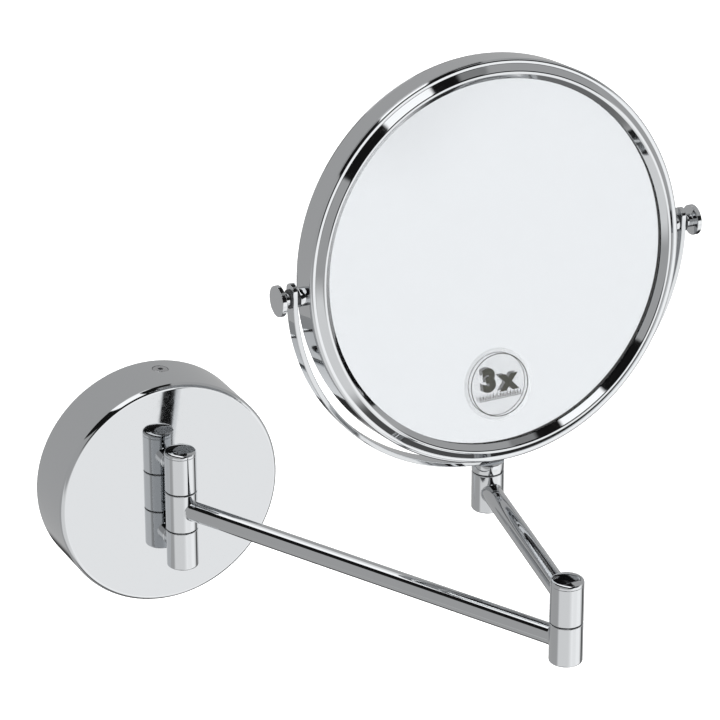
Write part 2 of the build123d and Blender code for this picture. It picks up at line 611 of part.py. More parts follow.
for name, side in (("left", -1), ("right", 1)):
    # Boss: a turned collar that stands on the rim, its foot cut to the rim's curve
    with BuildPart() as pivot_boss:
        with BuildSketch(sideways(side, boss_end)):
            Circle(BOSS_RADIUS)
        extrude(amount=-(BOSS_LENGTH + BOSS_FOOT))
        with BuildSketch(sideways(side, boss_end)):
            Circle(STUD_RADIUS + SEAT_GAP)
        extrude(amount=-(BOSS_LENGTH + BOSS_FOOT), mode=Mode.SUBTRACT)
        with BuildSketch(head_plane(0)):
            Circle(HEAD_RADIUS + SEAT_GAP)
        extrude(amount=BAND_HALF_DEPTH, both=True, mode=Mode.SUBTRACT)
    finish(pivot_boss, f"{name}_pivot_boss")

    # Stud: runs from the core through boss and ear into the knob
    with BuildPart() as pivot_stud:
        with BuildSketch(sideways(side, HEAD_RADIUS - STUD_DEPTH)):
            Circle(STUD_RADIUS)
        extrude(amount=STUD_DEPTH + knob_bore_end - HEAD_RADIUS - STUD_END_ROOM)
    finish(pivot_stud, f"{name}_pivot_stud")

    # Washers each side of the ear
    with BuildPart() as inner_washer:
        with BuildSketch(sideways(side, boss_end + RUNNING_GAP)):
            Circle(INNER_WASHER_RADIUS)
            Circle(STUD_RADIUS + RUNNING_GAP, mode=Mode.SUBTRACT)
        extrude(amount=yoke_inner - boss_end - RUNNING_GAP - INNER_WASHER_ROOM)
    finish(inner_washer, f"{name}_inner_washer")
    with BuildPart() as outer_washer:
        with BuildSketch(sideways(side, YOKE_RADIUS)):
            Circle(OUTER_WASHER_RADIUS)
            Circle(STUD_RADIUS + RUNNING_GAP, mode=Mode.SUBTRACT)
        extrude(amount=OUTER_WASHER_THICKNESS)
    finish(outer_washer, f"{name}_outer_washer")

    # Knob: a plain disc on a short neck, bored for the stud
    with BuildPart() as knob:
        with BuildSketch(sideways(side, outer_washer_end + RUNNING_GAP)):
            Circle(KNOB_NECK_RADIUS)
        extrude(amount=knob_back - outer_washer_end - RUNNING_GAP)
        with BuildSketch(sideways(side, knob_back)):
            Circle(KNOB_RADIUS)
        extrude(amount=KNOB_THICKNESS)
        circles = knob.edges().filter_by(GeomType.CIRCLE)
        fillet(circles.filter_by(lambda edge: edge.radius > KNOB_RADIUS - HAIR_GAP), KNOB_EDGE)
        with BuildSketch(sideways(side, outer_washer_end)):
            Circle(STUD_RADIUS + RUNNING_GAP)
        extrude(amount=knob_bore_end - outer_washer_end, mode=Mode.SUBTRACT)
    finish(knob, f"{name}_knob")
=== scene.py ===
import json
import logging
import math
from dataclasses import dataclass
from enum import Enum
from functools import cache
from typing import Mapping, Optional, Sequence, Union

import bmesh
import bpy
from mathutils import Matrix, Vector

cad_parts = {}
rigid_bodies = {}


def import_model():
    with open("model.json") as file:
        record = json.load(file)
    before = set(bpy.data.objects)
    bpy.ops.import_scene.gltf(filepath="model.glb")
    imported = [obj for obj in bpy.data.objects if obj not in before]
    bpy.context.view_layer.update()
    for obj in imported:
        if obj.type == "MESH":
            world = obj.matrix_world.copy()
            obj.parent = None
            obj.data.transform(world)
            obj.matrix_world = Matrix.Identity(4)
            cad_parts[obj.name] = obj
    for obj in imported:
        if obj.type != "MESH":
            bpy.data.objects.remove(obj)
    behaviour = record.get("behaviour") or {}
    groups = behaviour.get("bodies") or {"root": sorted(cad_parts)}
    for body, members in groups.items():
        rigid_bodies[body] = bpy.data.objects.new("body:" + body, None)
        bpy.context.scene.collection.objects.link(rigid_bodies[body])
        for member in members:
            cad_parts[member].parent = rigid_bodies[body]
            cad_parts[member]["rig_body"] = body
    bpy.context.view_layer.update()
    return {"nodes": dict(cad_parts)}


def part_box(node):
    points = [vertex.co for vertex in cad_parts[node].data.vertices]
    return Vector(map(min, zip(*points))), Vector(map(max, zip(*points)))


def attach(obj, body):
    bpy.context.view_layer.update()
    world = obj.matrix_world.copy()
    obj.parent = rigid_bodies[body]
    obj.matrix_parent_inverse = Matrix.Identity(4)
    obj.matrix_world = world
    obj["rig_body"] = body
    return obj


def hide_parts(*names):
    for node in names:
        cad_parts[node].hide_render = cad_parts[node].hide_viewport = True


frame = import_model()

LOG = logging.getLogger("shaving_mirror")
MM = 0.001
OUT_OF_WALL = Vector((0.0, -1.0, 0.0))
UP = Vector((0.0, 0.0, 1.0))
SIDEWAYS = Vector((1.0, 0.0, 0.0))

# Polished and turned faces stay smooth below this turn between faces, in degrees
CREASE = 32.0
# Places nearer than this are one vertex, in metres
WELD = 1e-7
# Noise is read between these two values, since it seldom leaves them
NOISE_LOW = 0.3
NOISE_HIGH = 0.7

Point = tuple[float, float]
Colour = Sequence[float]
Ring = list[Vector]
Rings = list[Union[Ring, Vector]]
Tree = bpy.types.NodeTree
Socket = bpy.types.NodeSocket
Node = bpy.types.Node
Material = bpy.types.Material
Piece = bpy.types.Object


class Body(Enum):
    """The bodies that pieces move with."""

    WALL = "wall_mount"
    INNER_ARM = "inner_arm"
    OUTER_ARM = "outer_arm"
    YOKE = "yoke"
    HEAD = "mirror_head"
    LEFT_KNOB = "left_knob"
    RIGHT_KNOB = "right_knob"


class Slot(Enum):
    """The material slots of the record."""

    CHROME = "chrome"
    STEEL = "steel"
    ZINC = "zinc_steel"
    NYLON = "nylon"
    CORE = "core_plastic"
    GLASS = "mirror_glass"
    FILM = "label_film"


# ------------------------------------------------------------------ small tools


def linear(code: str) -> tuple[float, float, float, float]:
    """Turn an sRGB hex colour into linear RGBA.

    Args:
        code: colour as "#RRGGBB".

    Returns:
        The colour in linear light, with full alpha.
    """
    knee, slope, offset, power = 0.04045, 12.92, 0.055, 2.4
    red, green, blue = (value / 255 for value in bytes.fromhex(code[1:]))
    channels = [
        value / slope if value <= knee else ((value + offset) / (1 + offset)) ** power
        for value in (red, green, blue)
    ]
    return (*channels, 1.0)


def add_node(
    tree: Tree, kind: str, inputs: Optional[Mapping[Union[str, int], object]] = None, **settings: object
) -> Node:
    """Add a node with its settings, values and links.

    Args:
        tree: node tree that takes the node.
        kind: the node's type name.
        inputs: socket name or number against a value, or a socket to link from.
        settings: properties of the node.

    Returns:
        The new node.
    """
    node = tree.nodes.new(kind)
    for name, value in settings.items():
        setattr(node, name, value)
    for key, value in (inputs or {}).items():
        if isinstance(value, Socket):
            tree.links.new(value, node.inputs[key])
        else:
            node.inputs[key].default_value = value
    return node


def centre_of(node: str) -> Vector:
    """Middle of a CAD node's box, in metres."""
    low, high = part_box(node)
    return (low + high) / 2


# ------------------------------------------------------------------ finishes


@dataclass(frozen=True)
class Finish:
    """A surface finish, with the sizes of its pattern in millimetres."""

    name: str
    colour: str
    metallic: float = 0.0
    roughness: float = 0.5

    def start(self) -> tuple[Material, Tree, Node, Socket]:
        """Make the material with its main shader.

        Returns:
            The material, its tree, the main shader and the object's own coordinates.
        """
        material = bpy.data.materials.new(self.name)
        material.use_nodes = True
        tree = material.node_tree
        tree.nodes.clear()
        shader = add_node(
            tree,
            "ShaderNodeBsdfPrincipled",
            {"Base Color": linear(self.colour), "Metallic": self.metallic, "Roughness": self.roughness},
        )
        add_node(tree, "ShaderNodeOutputMaterial", {"Surface": shader.outputs[0]})
        place = add_node(tree, "ShaderNodeTexCoord").outputs["Object"]
        return material, tree, shader, place

    @staticmethod
    def relief(tree: Tree, shader: Node, height: Socket, rise: float, strength: float = 1.0) -> None:
        """Raise and sink the surface's shading by a pattern.

        Args:
            tree: the material's node tree.
            shader: the main shader.
            height: the pattern, between 0 and 1.
            rise: how high the pattern stands, in millimetres.
            strength: share of the relief that shows.
        """
        values = {"Height": height, "Distance": rise * MM, "Strength": strength}
        tree.links.new(add_node(tree, "ShaderNodeBump", values).outputs[0], shader.inputs["Normal"])

    @staticmethod
    def mottle(tree: Tree, shader: Node, noise: Socket, first: Colour, second: Colour) -> None:
        """Let the colour drift between two shades.

        Args:
            tree: the material's node tree.
            shader: the main shader.
            noise: where the shades lie.
            first: linear RGBA at the noise's low end.
            second: linear RGBA at its high end.
        """
        share = spread(tree, noise, 0.0, 1.0)
        tint = add_node(tree, "ShaderNodeMix", {0: share, 6: first, 7: second}, data_type="RGBA")
        tree.links.new(tint.outputs[2], shader.inputs["Base Color"])

    @staticmethod
    def sheen(tree: Tree, shader: Node, noise: Socket, sharpest: float, dullest: float) -> None:
        """Let the roughness drift between two values.

        Args:
            tree: the material's node tree.
            shader: the main shader.
            noise: where the values lie.
            sharpest: roughness at the noise's low end.
            dullest: roughness at its high end.
        """
        tree.links.new(spread(tree, noise, sharpest, dullest), shader.inputs["Roughness"])


def grain(tree: Tree, place: Socket, size: float, detail: float = 2.0) -> Socket:
    """Noise whose features are about one size across.

    Args:
        tree: the material's node tree.
        place: coordinates in metres.
        size: feature size in millimetres.
        detail: octaves of finer noise.

    Returns:
        The noise's value socket.
    """
    values = {"Vector": place, "Scale": 1 / (size * MM), "Detail": detail}
    return add_node(tree, "ShaderNodeTexNoise", values).outputs["Fac"]


def spread(tree: Tree, value: Socket, low: float, high: float) -> Socket:
    """Stretch the middle of a noise over a range of values.

    Args:
        tree: the material's node tree.
        value: noise between 0 and 1.
        low: result at the noise's low end.
        high: result at the noise's high end.

    Returns:
        The stretched value's socket.
    """
    ends = {"Value": value, 1: NOISE_LOW, 2: NOISE_HIGH, 3: low, 4: high}
    return add_node(tree, "ShaderNodeMapRange", ends).outputs[0]


@dataclass(frozen=True)
class ChromePlate(Finish):
    """Chrome-plated brass, turned and buffed: a mirror with a slow ripple left by the buffing wheel."""

    name: str = "chrome_plated_brass"
    colour: str = "#CFD1D3"
    metallic: float = 1.0
    roughness: float = 0.045
    ripple: float = 7.0
    ripple_height: float = 0.0016
    haze: float = 2.5
    sharpest: float = 0.6
    haziest: float = 1.5

    def make(self) -> Material:
        """Build the plating."""
        material, tree, shader, place = self.start()
        # Polishing haze: patches where the plate is a touch less sharp
        haze = grain(tree, place, self.haze, 3.0)
        self.sheen(tree, shader, haze, self.roughness * self.sharpest, self.roughness * self.haziest)
        # Buffing ripple: bends long reflections very slightly
        self.relief(tree, shader, grain(tree, place, self.ripple), self.ripple_height)
        return material


@dataclass(frozen=True)
class BrightSteel(Finish):
    """Stainless steel turned on a lathe: fine tool marks that soften the shine."""

    name: str = "turned_stainless_steel"
    colour: str = "#BDBEC0"
    metallic: float = 1.0
    roughness: float = 0.22
    mark_size: float = 0.4
    mark_depth: float = 0.01
    sharpest: float = 0.8
    dullest: float = 1.3

    def make(self) -> Material:
        """Build the steel."""
        material, tree, shader, place = self.start()
        # Tool marks: they break up the shine, and are coarser than the real 0.1 mm feed, so that they show
        marks = grain(tree, place, self.mark_size, 1.0)
        self.sheen(tree, shader, marks, self.roughness * self.sharpest, self.roughness * self.dullest)
        self.relief(tree, shader, marks, self.mark_depth, 0.4)
        return material


@dataclass(frozen=True)
class ZincPlate(Finish):
    """Zinc-plated pressed steel: dull silver with a cloudy passivated skin."""

    name: str = "zinc_plated_steel"
    colour: str = "#A9ADB2"
    metallic: float = 1.0
    roughness: float = 0.38
    cloud: float = 6.0
    cool: str = "#9EA5AD"
    warm: str = "#B7B5AA"
    sharpest: float = 0.8
    dullest: float = 1.25
    pit: float = 0.5
    pit_depth: float = 0.01

    def make(self) -> Material:
        """Build the plating."""
        material, tree, shader, place = self.start()
        # Passivation clouds shift the plate between blue-grey and yellow-grey
        clouds = grain(tree, place, self.cloud, 4.0)
        self.mottle(tree, shader, clouds, linear(self.cool), linear(self.warm))
        self.sheen(tree, shader, clouds, self.roughness * self.sharpest, self.roughness * self.dullest)
        # Pits: the pickled sheet under the plate shows as a fine tooth
        self.relief(tree, shader, grain(tree, place, self.pit), self.pit_depth, 0.6)
        return material


@dataclass(frozen=True)
class Moulded(Finish):
    """Moulded plastic: satin, with a fine spark-eroded grain and a faint flow mottle."""

    name: str = "moulded_plastic"
    colour: str = "#2B2C2E"
    roughness: float = 0.42
    texture: float = 0.35
    texture_depth: float = 0.008
    flow: float = 9.0
    darkening: float = 0.82

    def make(self) -> Material:
        """Build the plastic."""
        material, tree, shader, place = self.start()
        # Flow mottle: the colour drifts by a shade over the moulding
        colour = linear(self.colour)
        darker = [channel * self.darkening for channel in colour[:3]] + [1.0]
        self.mottle(tree, shader, grain(tree, place, self.flow), colour, darker)
        # Spark-eroded grain: takes the gloss off the moulding
        self.relief(tree, shader, grain(tree, place, self.texture, 1.0), self.texture_depth, 0.5)
        return material


@dataclass(frozen=True)
class MirrorSilver(Finish):
    """Silver laid on the back of float glass: the brightest mirror, very slightly cool."""

    name: str = "mirror_silver"
    colour: str = "#CDD0D3"
    metallic: float = 1.0
    roughness: float = 0.012
    wave: float = 22.0
    wave_height: float = 0.002
    patch: float = 1.6
    sharpest: float = 0.006
    dullest: float = 0.03

    def make(self) -> Material:
        """Build the silvering."""
        material, tree, shader, place = self.start()
        # Slumping wave: the glass bends reflections a little over wide patches
        self.relief(tree, shader, grain(tree, place, self.wave, 1.0), self.wave_height)
        # Grain of the silver: patches where the picture is a touch less sharp
        self.sheen(tree, shader, grain(tree, place, self.patch, 3.0), self.sharpest, self.dullest)
        return material


@dataclass(frozen=True)
class ClearGlass(Finish):
    """Float glass in front of the silver, clear, with a few specks of lint."""

    name: str = "float_glass"
    colour: str = "#FEFEFE"
    roughness: float = 0.0
    ior: float = 1.52
    speck: float = 1.2
    speck_from: float = 0.74
    speck_full: float = 0.8
    speck_roughness: float = 0.12

    def make(self) -> Material:
        """Build the glass."""
        material, tree, shader, place = self.start()
        shader.inputs["Transmission Weight"].default_value = 1.0
        shader.inputs["IOR"].default_value = self.ior
        # Lint: sparse specks that are a little less clear
        specks = grain(tree, place, self.speck, 0.0)
        ends = {"Value": specks, 1: self.speck_from, 2: self.speck_full, 3: 0.0, 4: self.speck_roughness}
        tree.links.new(add_node(tree, "ShaderNodeMapRange", ends).outputs[0], shader.inputs["Roughness"])
        return material


@dataclass(frozen=True)
class ClearFilm(Finish):
    """Static-cling vinyl film: nearly clear, with a soft gloss and a trace of milkiness."""

    name: str = "clear_vinyl_film"
    colour: str = "#F2F4F6"
    roughness: float = 0.16
    ior: float = 1.5
    air: float = 1.8
    clearest: float = 0.07
    milkiest: float = 0.12

    def make(self) -> Material:
        """Build the film."""
        material, tree, shader, place = self.start()
        shader.inputs["IOR"].default_value = self.ior
        # Caught air: the film is a little milkier over it
        veil = spread(tree, grain(tree, place, self.air, 3.0), self.clearest, self.milkiest)
        tree.links.new(veil, shader.inputs["Alpha"])
        return material


@dataclass(frozen=True)
class PrintedInk(Finish):
    """Screen-printed ink: dark olive grey, slightly uneven where the screen left it thin."""

    name: str = "screen_printed_ink"
    colour: str = "#35362F"
    thin_colour: str = "#4C4C46"
    roughness: float = 0.55
    blot: float = 0.9

    def make(self) -> Material:
        """Build the ink."""
        material, tree, shader, place = self.start()
        # Blots: paler where the screen left the ink thin
        blots = grain(tree, place, self.blot, 3.0)
        self.mottle(tree, shader, blots, linear(self.colour), linear(self.thin_colour))
        return material


@dataclass(frozen=True)
class PaleFloor(Finish):
    """Matt painted studio floor, plain and near white."""

    name: str = "matt_painted_floor"
    colour: str = "#F4F5F5"
    roughness: float = 0.9
    glow_colour: str = "#FFFFFF"
    glow: float = 0.55
    roller: float = 2.0
    roller_height: float = 0.05

    def make(self) -> Material:
        """Build the floor's paint."""
        material, tree, shader, place = self.start()
        # Glow: lifts the paint to an even near-white, as a lit backdrop is
        shader.inputs["Emission Color"].default_value = linear(self.glow_colour)
        shader.inputs["Emission Strength"].default_value = self.glow
        # Roller texture: keeps the paint matt at a low angle
        self.relief(tree, shader, grain(tree, place, self.roller), self.roller_height, 0.3)
        return material


class Coat(Enum):
    """The mirror's materials: the finish of each, and its slot in the record."""

    CHROME = (ChromePlate(), Slot.CHROME)
    STEEL = (BrightSteel(), Slot.STEEL)
    ZINC = (ZincPlate(), Slot.ZINC)
    NYLON = (Moulded(name="moulded_nylon", colour="#3A3B3D"), Slot.NYLON)
    CORE = (Moulded(name="moulded_abs", colour="#8F9294"), Slot.CORE)
    SILVER = (MirrorSilver(), Slot.GLASS)
    GLASS = (ClearGlass(), Slot.GLASS)
    FILM = (ClearFilm(), Slot.FILM)
    INK = (PrintedInk(), Slot.FILM)


@cache
def material_of(coat: Coat) -> Material:
    """The coat's material, made once."""
    finish, _ = coat.value
    return finish.make()


# ------------------------------------------------------------------ mesh tools


@dataclass(frozen=True)
class Corner:
    """One corner of a profile in millimetres: out from the axis, along it, and how round it is."""

    out: float
    along: float
    radius: float = 0.0


def rounded(corners: Sequence[Corner], closed: bool = False, steps: int = 6) -> list[Point]:
    """Round the corners of a profile.

    Args:
        corners: the profile's corners in order.
        closed: whether the last corner joins the first.
        steps: points on each rounded corner.

    Returns:
        The profile's points in millimetres.
    """
    points: list[Point] = []
    last = len(corners) - 1
    for number, corner in enumerate(corners):
        here = Vector((corner.out, corner.along))
        if corner.radius <= 0 or (not closed and number in (0, last)):
            points.append((here.x, here.y))
            continue
        before = Vector((corners[number - 1].out, corners[number - 1].along)) - here
        after_corner = corners[(number + 1) % len(corners)]
        after = Vector((after_corner.out, after_corner.along)) - here
        half = before.angle(after) / 2
        reach = min(corner.radius / math.tan(half), 0.48 * before.length, 0.48 * after.length)
        radius = reach * math.tan(half)
        middle = here + (before.normalized() + after.normalized()).normalized() * (radius / math.sin(half))
        start = here + before.normalized() * reach - middle
        turn = start.angle_signed(here + after.normalized() * reach - middle)
        for step in range(steps + 1):
            swing = -turn * step / steps
            spoke = Vector(
                (
                    start.x * math.cos(swing) - start.y * math.sin(swing),
                    start.x * math.sin(swing) + start.y * math.cos(swing),
                )
            )
            points.append((middle.x + spoke.x, middle.y + spoke.y))
    return points


def held(
    points: Sequence[Point], closed: bool = False, margin: float = 0.12, share: float = 0.35
) -> list[Point]:
    """Add a holding point where a long flat span meets a short one, so that the flat shades flat.

    Args:
        points: the profile's points in millimetres.
        closed: whether the last point joins the first.
        margin: distance of the holding point from the end of its span.
        share: a neighbour shorter than this share of the span counts as short.

    Returns:
        The profile with its holding points.
    """
    result: list[Point] = []
    count = len(points)

    def length(number: int) -> float:
        """Length of a span, endless past the ends of an open profile."""
        if not closed and not 0 <= number < count - 1:
            return math.inf
        return (Vector(points[(number + 1) % count]) - Vector(points[number % count])).length

    for number, point in enumerate(points):
        result.append(point)
        span = length(number)
        if span is math.inf or span < 4 * margin:
            continue
        ahead = (Vector(points[(number + 1) % count]) - Vector(point)).normalized()
        if length(number - 1) < span * share:
            result.append(tuple(Vector(point) + ahead * margin))
        if length(number + 1) < span * share:
            result.append(tuple(Vector(point) + ahead * (span - margin)))
    return result


def finish_mesh(name: str, verts: list[Vector], faces: list[list[int]], sharp: float = CREASE) -> Piece:
    """Make an object from vertices and faces, with smooth shading and sharp creases.

    Args:
        name: the piece's name.
        verts: places in metres.
        faces: corner numbers of each face.
        sharp: edges that turn by more than this many degrees stay sharp.

    Returns:
        The linked object.
    """
    mesh = bpy.data.meshes.new(name)
    mesh.from_pydata([tuple(v) for v in verts], [], faces)
    tidy = bmesh.new()
    tidy.from_mesh(mesh)
    bmesh.ops.remove_doubles(tidy, verts=tidy.verts, dist=WELD)
    bmesh.ops.recalc_face_normals(tidy, faces=tidy.faces)
    tidy.to_mesh(mesh)
    tidy.free()
    mesh.shade_smooth()
    mesh.set_sharp_from_angle(angle=math.radians(sharp))
    piece = bpy.data.objects.new(name, mesh)
    bpy.context.scene.collection.objects.link(piece)
    return piece


def skin(name: str, rings: Rings, closed: bool = False) -> Piece:
    """Join rings of equal count into a skin. A single point in place of a ring is a pole.

    Args:
        name: the piece's name.
        rings: rings and poles in order.
        closed: whether the last ring joins the first.

    Returns:
        The piece.
    """
    verts: list[Vector] = []
    starts: list[tuple[int, int]] = []
    for ring in rings:
        members = [ring] if isinstance(ring, Vector) else ring
        starts.append((len(verts), len(members)))
        verts.extend(members)
    faces: list[list[int]] = []
    pairs = list(zip(starts, starts[1:])) + ([(starts[-1], starts[0])] if closed else [])
    for (a, a_count), (b, b_count) in pairs:
        count = max(a_count, b_count)
        for k in range(count):
            n = (k + 1) % count
            if a_count == 1:
                faces.append([a, b + n, b + k])
            elif b_count == 1:
                faces.append([a + k, a + n, b])
            else:
                faces.append([a + k, a + n, b + n, b + k])
    return finish_mesh(name, verts, faces)


@dataclass(frozen=True)
class Spindle:
    """An axis to spin profiles about: a point on it and its direction."""

    origin: Vector
    axis: Vector

    def sides(self) -> tuple[Vector, Vector]:
        """Two directions square to the axis and to each other."""
        guide = UP if abs(self.axis.dot(UP)) < 0.9 else SIDEWAYS
        across = guide.cross(self.axis).normalized()
        return across, self.axis.cross(across).normalized()

    def at(self, angle: float, out: float, along: float) -> Vector:
        """Point at an angle in radians, and distances out and along in millimetres."""
        across, other = self.sides()
        spoke = across * math.cos(angle) + other * math.sin(angle)
        return self.origin + (spoke * out + self.axis * along) * MM

    def circle(self, count: int, out: float, along: float) -> Ring:
        """Ring of evenly spaced points, out and along in millimetres."""
        return [self.at(2 * math.pi * k / count, out, along) for k in range(count)]

    def level(self) -> Vector:
        """Whichever side direction lies level, for a level axis."""
        across, other = self.sides()
        return across if abs(across.z) < 0.5 else other

    def lathe(self, name: str, points: Sequence[Point], count: int = 96, closed: bool = False) -> Piece:
        """Spin a profile into a piece.

        Args:
            name: the piece's name.
            points: the profile, out and along, in millimetres.
            count: sides of the turned piece.
            closed: whether the profile's last point joins its first.

        Returns:
            The piece.
        """
        rings: Rings = []
        for out, along in held(points, closed):
            on_axis = out < 1e-6
            rings.append(self.at(0.0, 0.0, along) if on_axis else self.circle(count, out, along))
        return skin(name, rings, closed)

    def rod(self, radius: float, low: float, high: float) -> Piece:
        """Plain rod for cutting holes."""
        return self.lathe("cutter", [(0, low), (radius, low), (radius, high), (0, high)], 64)


def bored(piece: Piece, cutters: Sequence[Piece]) -> Piece:
    """Cut holes in a piece and throw the cutters away.

    Args:
        piece: closed mesh to be cut.
        cutters: closed meshes that take material away.

    Returns:
        The same piece, cut.
    """
    for cutter in cutters:
        tool = piece.modifiers.new("hole", "BOOLEAN")
        tool.operation = "DIFFERENCE"
        tool.solver = "EXACT"
        tool.object = cutter
    bpy.context.view_layer.update()
    result = bpy.data.meshes.new_from_object(piece.evaluated_get(bpy.context.evaluated_depsgraph_get()))
    piece.modifiers.clear()
    piece.data = result
    result.name = piece.name
    result.shade_smooth()
    result.set_sharp_from_angle(angle=math.radians(CREASE))
    for cutter in cutters:
        bpy.data.objects.remove(cutter)
    return piece


def install(piece: Piece, body: Body, coat: Coat, *nodes: str) -> None:
    """Dress a piece, hang it on its body and hide the CAD nodes that it replaces.

    Args:
        piece: the finished mesh.
        body: what it moves with.
        coat: its finish.
        nodes: CAD nodes that it replaces.
    """
    piece.data.materials.clear()
    piece.data.materials.append(material_of(coat))
    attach(piece, body.value)
    if nodes:
        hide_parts(*nodes)
    LOG.info("built %s on %s", piece.name, body.value)


def dress(node: str, coat: Coat) -> None:
    """Give a carried-over CAD node its finish."""
    mesh = frame["nodes"][node].data
    mesh.materials.clear()
    mesh.materials.append(material_of(coat))
    LOG.info("dressed %s", node)


def upright(node: str) -> tuple[Spindle, float]:
    """Upright axis on the foot of a CAD node's box, and the box's height in millimetres."""
    low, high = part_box(node)
    middle = (low + high) / 2
    return Spindle(Vector((middle.x, middle.y, low.z)), UP), (high.z - low.z) / MM


def body_of(node: str) -> Body:
    """The body that a CAD node belongs to."""
    return Body(frame["nodes"][node]["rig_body"])


@dataclass(frozen=True)
class SocketScrew:
    """Low screw in millimetres: round button with a hex socket, on a plain shank."""

    radius: float
    height: float
    edge: float
    reach: float
    key: float = 1.25
    depth: float = 1.0
    shank: float = 2.0
    sides: int = 96
    edge_steps: int = 6

    def hexagon(self, spindle: Spindle, size: float, along: float) -> Ring:
        """Hexagonal ring whose flats lie at a distance from the axis."""
        ring = []
        for k in range(self.sides):
            angle = 2 * math.pi * k / self.sides
            wedge = (angle + math.pi / 6) % (math.pi / 3) - math.pi / 6
            ring.append(spindle.at(angle, size / math.cos(wedge), along))
        return ring

    def make(self, name: str, spindle: Spindle) -> Piece:
        """Build the screw.

        Args:
            name: the piece's name.
            spindle: axis out of the head, with its origin under the head.

        Returns:
            The screw.
        """
        outline = [(self.shank, -self.reach), (self.shank, 0), (self.radius, 0)]
        for step in range(self.edge_steps + 1):
            swing = math.pi / 2 * step / self.edge_steps
            out = self.radius - self.edge + self.edge * math.cos(swing)
            outline.append((out, self.height - self.edge + self.edge * math.sin(swing)))
        outline.append((self.key * 1.45, self.height))
        rings: Rings = [spindle.at(0, 0, -self.reach)]
        rings += [spindle.circle(self.sides, out, along) for out, along in outline]
        # The socket's mouth is chamfered, and its floor is the drill's cone
        rings.append(self.hexagon(spindle, self.key * 1.08, self.height))
        rings.append(self.hexagon(spindle, self.key, self.height - 0.1))
        rings.append(self.hexagon(spindle, self.key, self.height - self.depth))
        rings.append(spindle.at(0, 0, self.height - self.depth - self.key * 0.3))
        return skin(name, rings)


# ------------------------------------------------------------------ wall base


@dataclass
class WallBase:
    """Shallow chromed drum over a zinc-plated bracket, with its side screw and the two column stubs."""

    radius: float = 59.0
    depth: float = 32.0
    wall: float = 1.6
    face: float = 3.0
    edge: float = 2.5
    rim_edge: float = 0.25
    inner_edge: float = 0.6
    sides: int = 256
    stub_radius: float = 4.5
    stub_bore: float = 3.02
    stub_foot: float = 0.25
    stub_sides: int = 72
    thread_radius: float = 3.0
    thread_length: float = 8.0
    knuckle_radius: float = 8.0
    screw_turn: float = 5.0
    screw_setback: float = 11.0
    screw_radius: float = 4.0
    screw_room: float = 0.15
    screw_edge: float = 0.5
    screw_reach: float = 3.6

    def build(self) -> None:
        """Make and install every piece of the base."""
        middle = Vector((centre_of("base_cover").x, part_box("base_cover")[1].y, centre_of("base_cover").z))
        inner, ceiling = self.radius - self.wall, self.depth - self.face
        profile = rounded(
            [
                Corner(0, self.depth),
                Corner(self.radius, self.depth, self.edge),
                Corner(self.radius, 0, self.rim_edge),
                Corner(inner, 0, self.rim_edge),
                Corner(inner, ceiling, self.inner_edge),
                Corner(0, ceiling),
            ],
            steps=12,
        )
        cover = Spindle(middle, OUT_OF_WALL).lathe("base_cover_shell", profile, self.sides)
        turn = math.radians(self.screw_turn)
        screw_out = Vector((math.sin(turn), 0, math.cos(turn)))
        seat = middle + (screw_out * inner + OUT_OF_WALL * self.screw_setback) * MM
        screw_spindle = Spindle(seat, screw_out)
        cutters = [screw_spindle.rod(self.screw_radius + self.screw_room, -2.0, 4.0)]
        for node in ("wall_stub_upper", "wall_stub_lower"):
            stub = centre_of(node)
            hole = Spindle(Vector((stub.x, middle.y, stub.z)), OUT_OF_WALL)
            cutters.append(hole.rod(self.stub_bore, 20.0, 40.0))
        install(bored(cover, cutters), Body.WALL, Coat.CHROME, "base_cover")
        screw = SocketScrew(self.screw_radius, self.wall, self.screw_edge, self.screw_reach)
        button = screw.make("cover_screw_button", screw_spindle)
        install(button, Body.WALL, Coat.STEEL, "cover_screw")
        for side in ("upper", "lower"):
            self.stub(side, middle)
        for node in ("wall_bracket", "stub_nut_upper", "stub_nut_lower"):
            dress(node, Coat.ZINC)

    def stub(self, side: str, middle: Vector) -> None:
        """Make the short post from the drum's face to a fixed knuckle, threaded through the face.

        Args:
            side: "upper" or "lower", as in the CAD nodes' names.
            middle: the middle of the drum's back.
        """
        node = f"wall_stub_{side}"
        place = centre_of(node)
        start = Vector((place.x, middle.y - self.depth * MM, place.z))
        spindle = Spindle(start, OUT_OF_WALL)
        reach = (start.y - centre_of(f"wall_knuckle_{side}").y) / MM
        outline = [
            (self.thread_radius, -self.thread_length),
            (self.thread_radius, 0.0),
            (self.stub_radius + self.stub_foot, 0.0),
            (self.stub_radius, self.stub_foot),
        ]
        rings: Rings = [spindle.at(0, 0, -self.thread_length)]
        rings += [spindle.circle(self.stub_sides, out, along) for out, along in outline]
        for out, back in ((self.stub_radius, 0.3), (self.stub_radius + 0.2, 0.0), (0.5, 0.0)):
            rings.append(saddle_ring(spindle, self.stub_sides, out, reach, self.knuckle_radius, back))
        install(skin(f"column_stub_{side}", rings), Body.WALL, Coat.CHROME, node)


def saddle_ring(spindle: Spindle, count: int, out: float, reach: float, post: float, back: float) -> Ring:
    """Ring of a level branch where it meets an upright round post.

    Args:
        spindle: the branch's axis, level, pointing at the post.
        count: points in the ring.
        out: radius of the ring.
        reach: distance from the spindle's origin to the post's axis.
        post: radius of the post.
        back: how far short of the post the ring stays.

    Returns:
        The ring.
    """
    ring = []
    level = spindle.level()
    for k in range(count):
        angle = 2 * math.pi * k / count
        place = spindle.at(angle, out, 0)
        sideways = (place - spindle.origin).dot(level) / MM
        ring.append(spindle.at(angle, out, reach - math.sqrt(post * post - sideways * sideways) - back))
    return ring


# ------------------------------------------------------------------ hinge columns


class Bore(Enum):
    """How a knuckle is bored for its pin."""

    THROUGH = "through"
    BLIND = "blind"
    POCKET_TOP = "pocket at the top"
    POCKET_FOOT = "pocket at the foot"


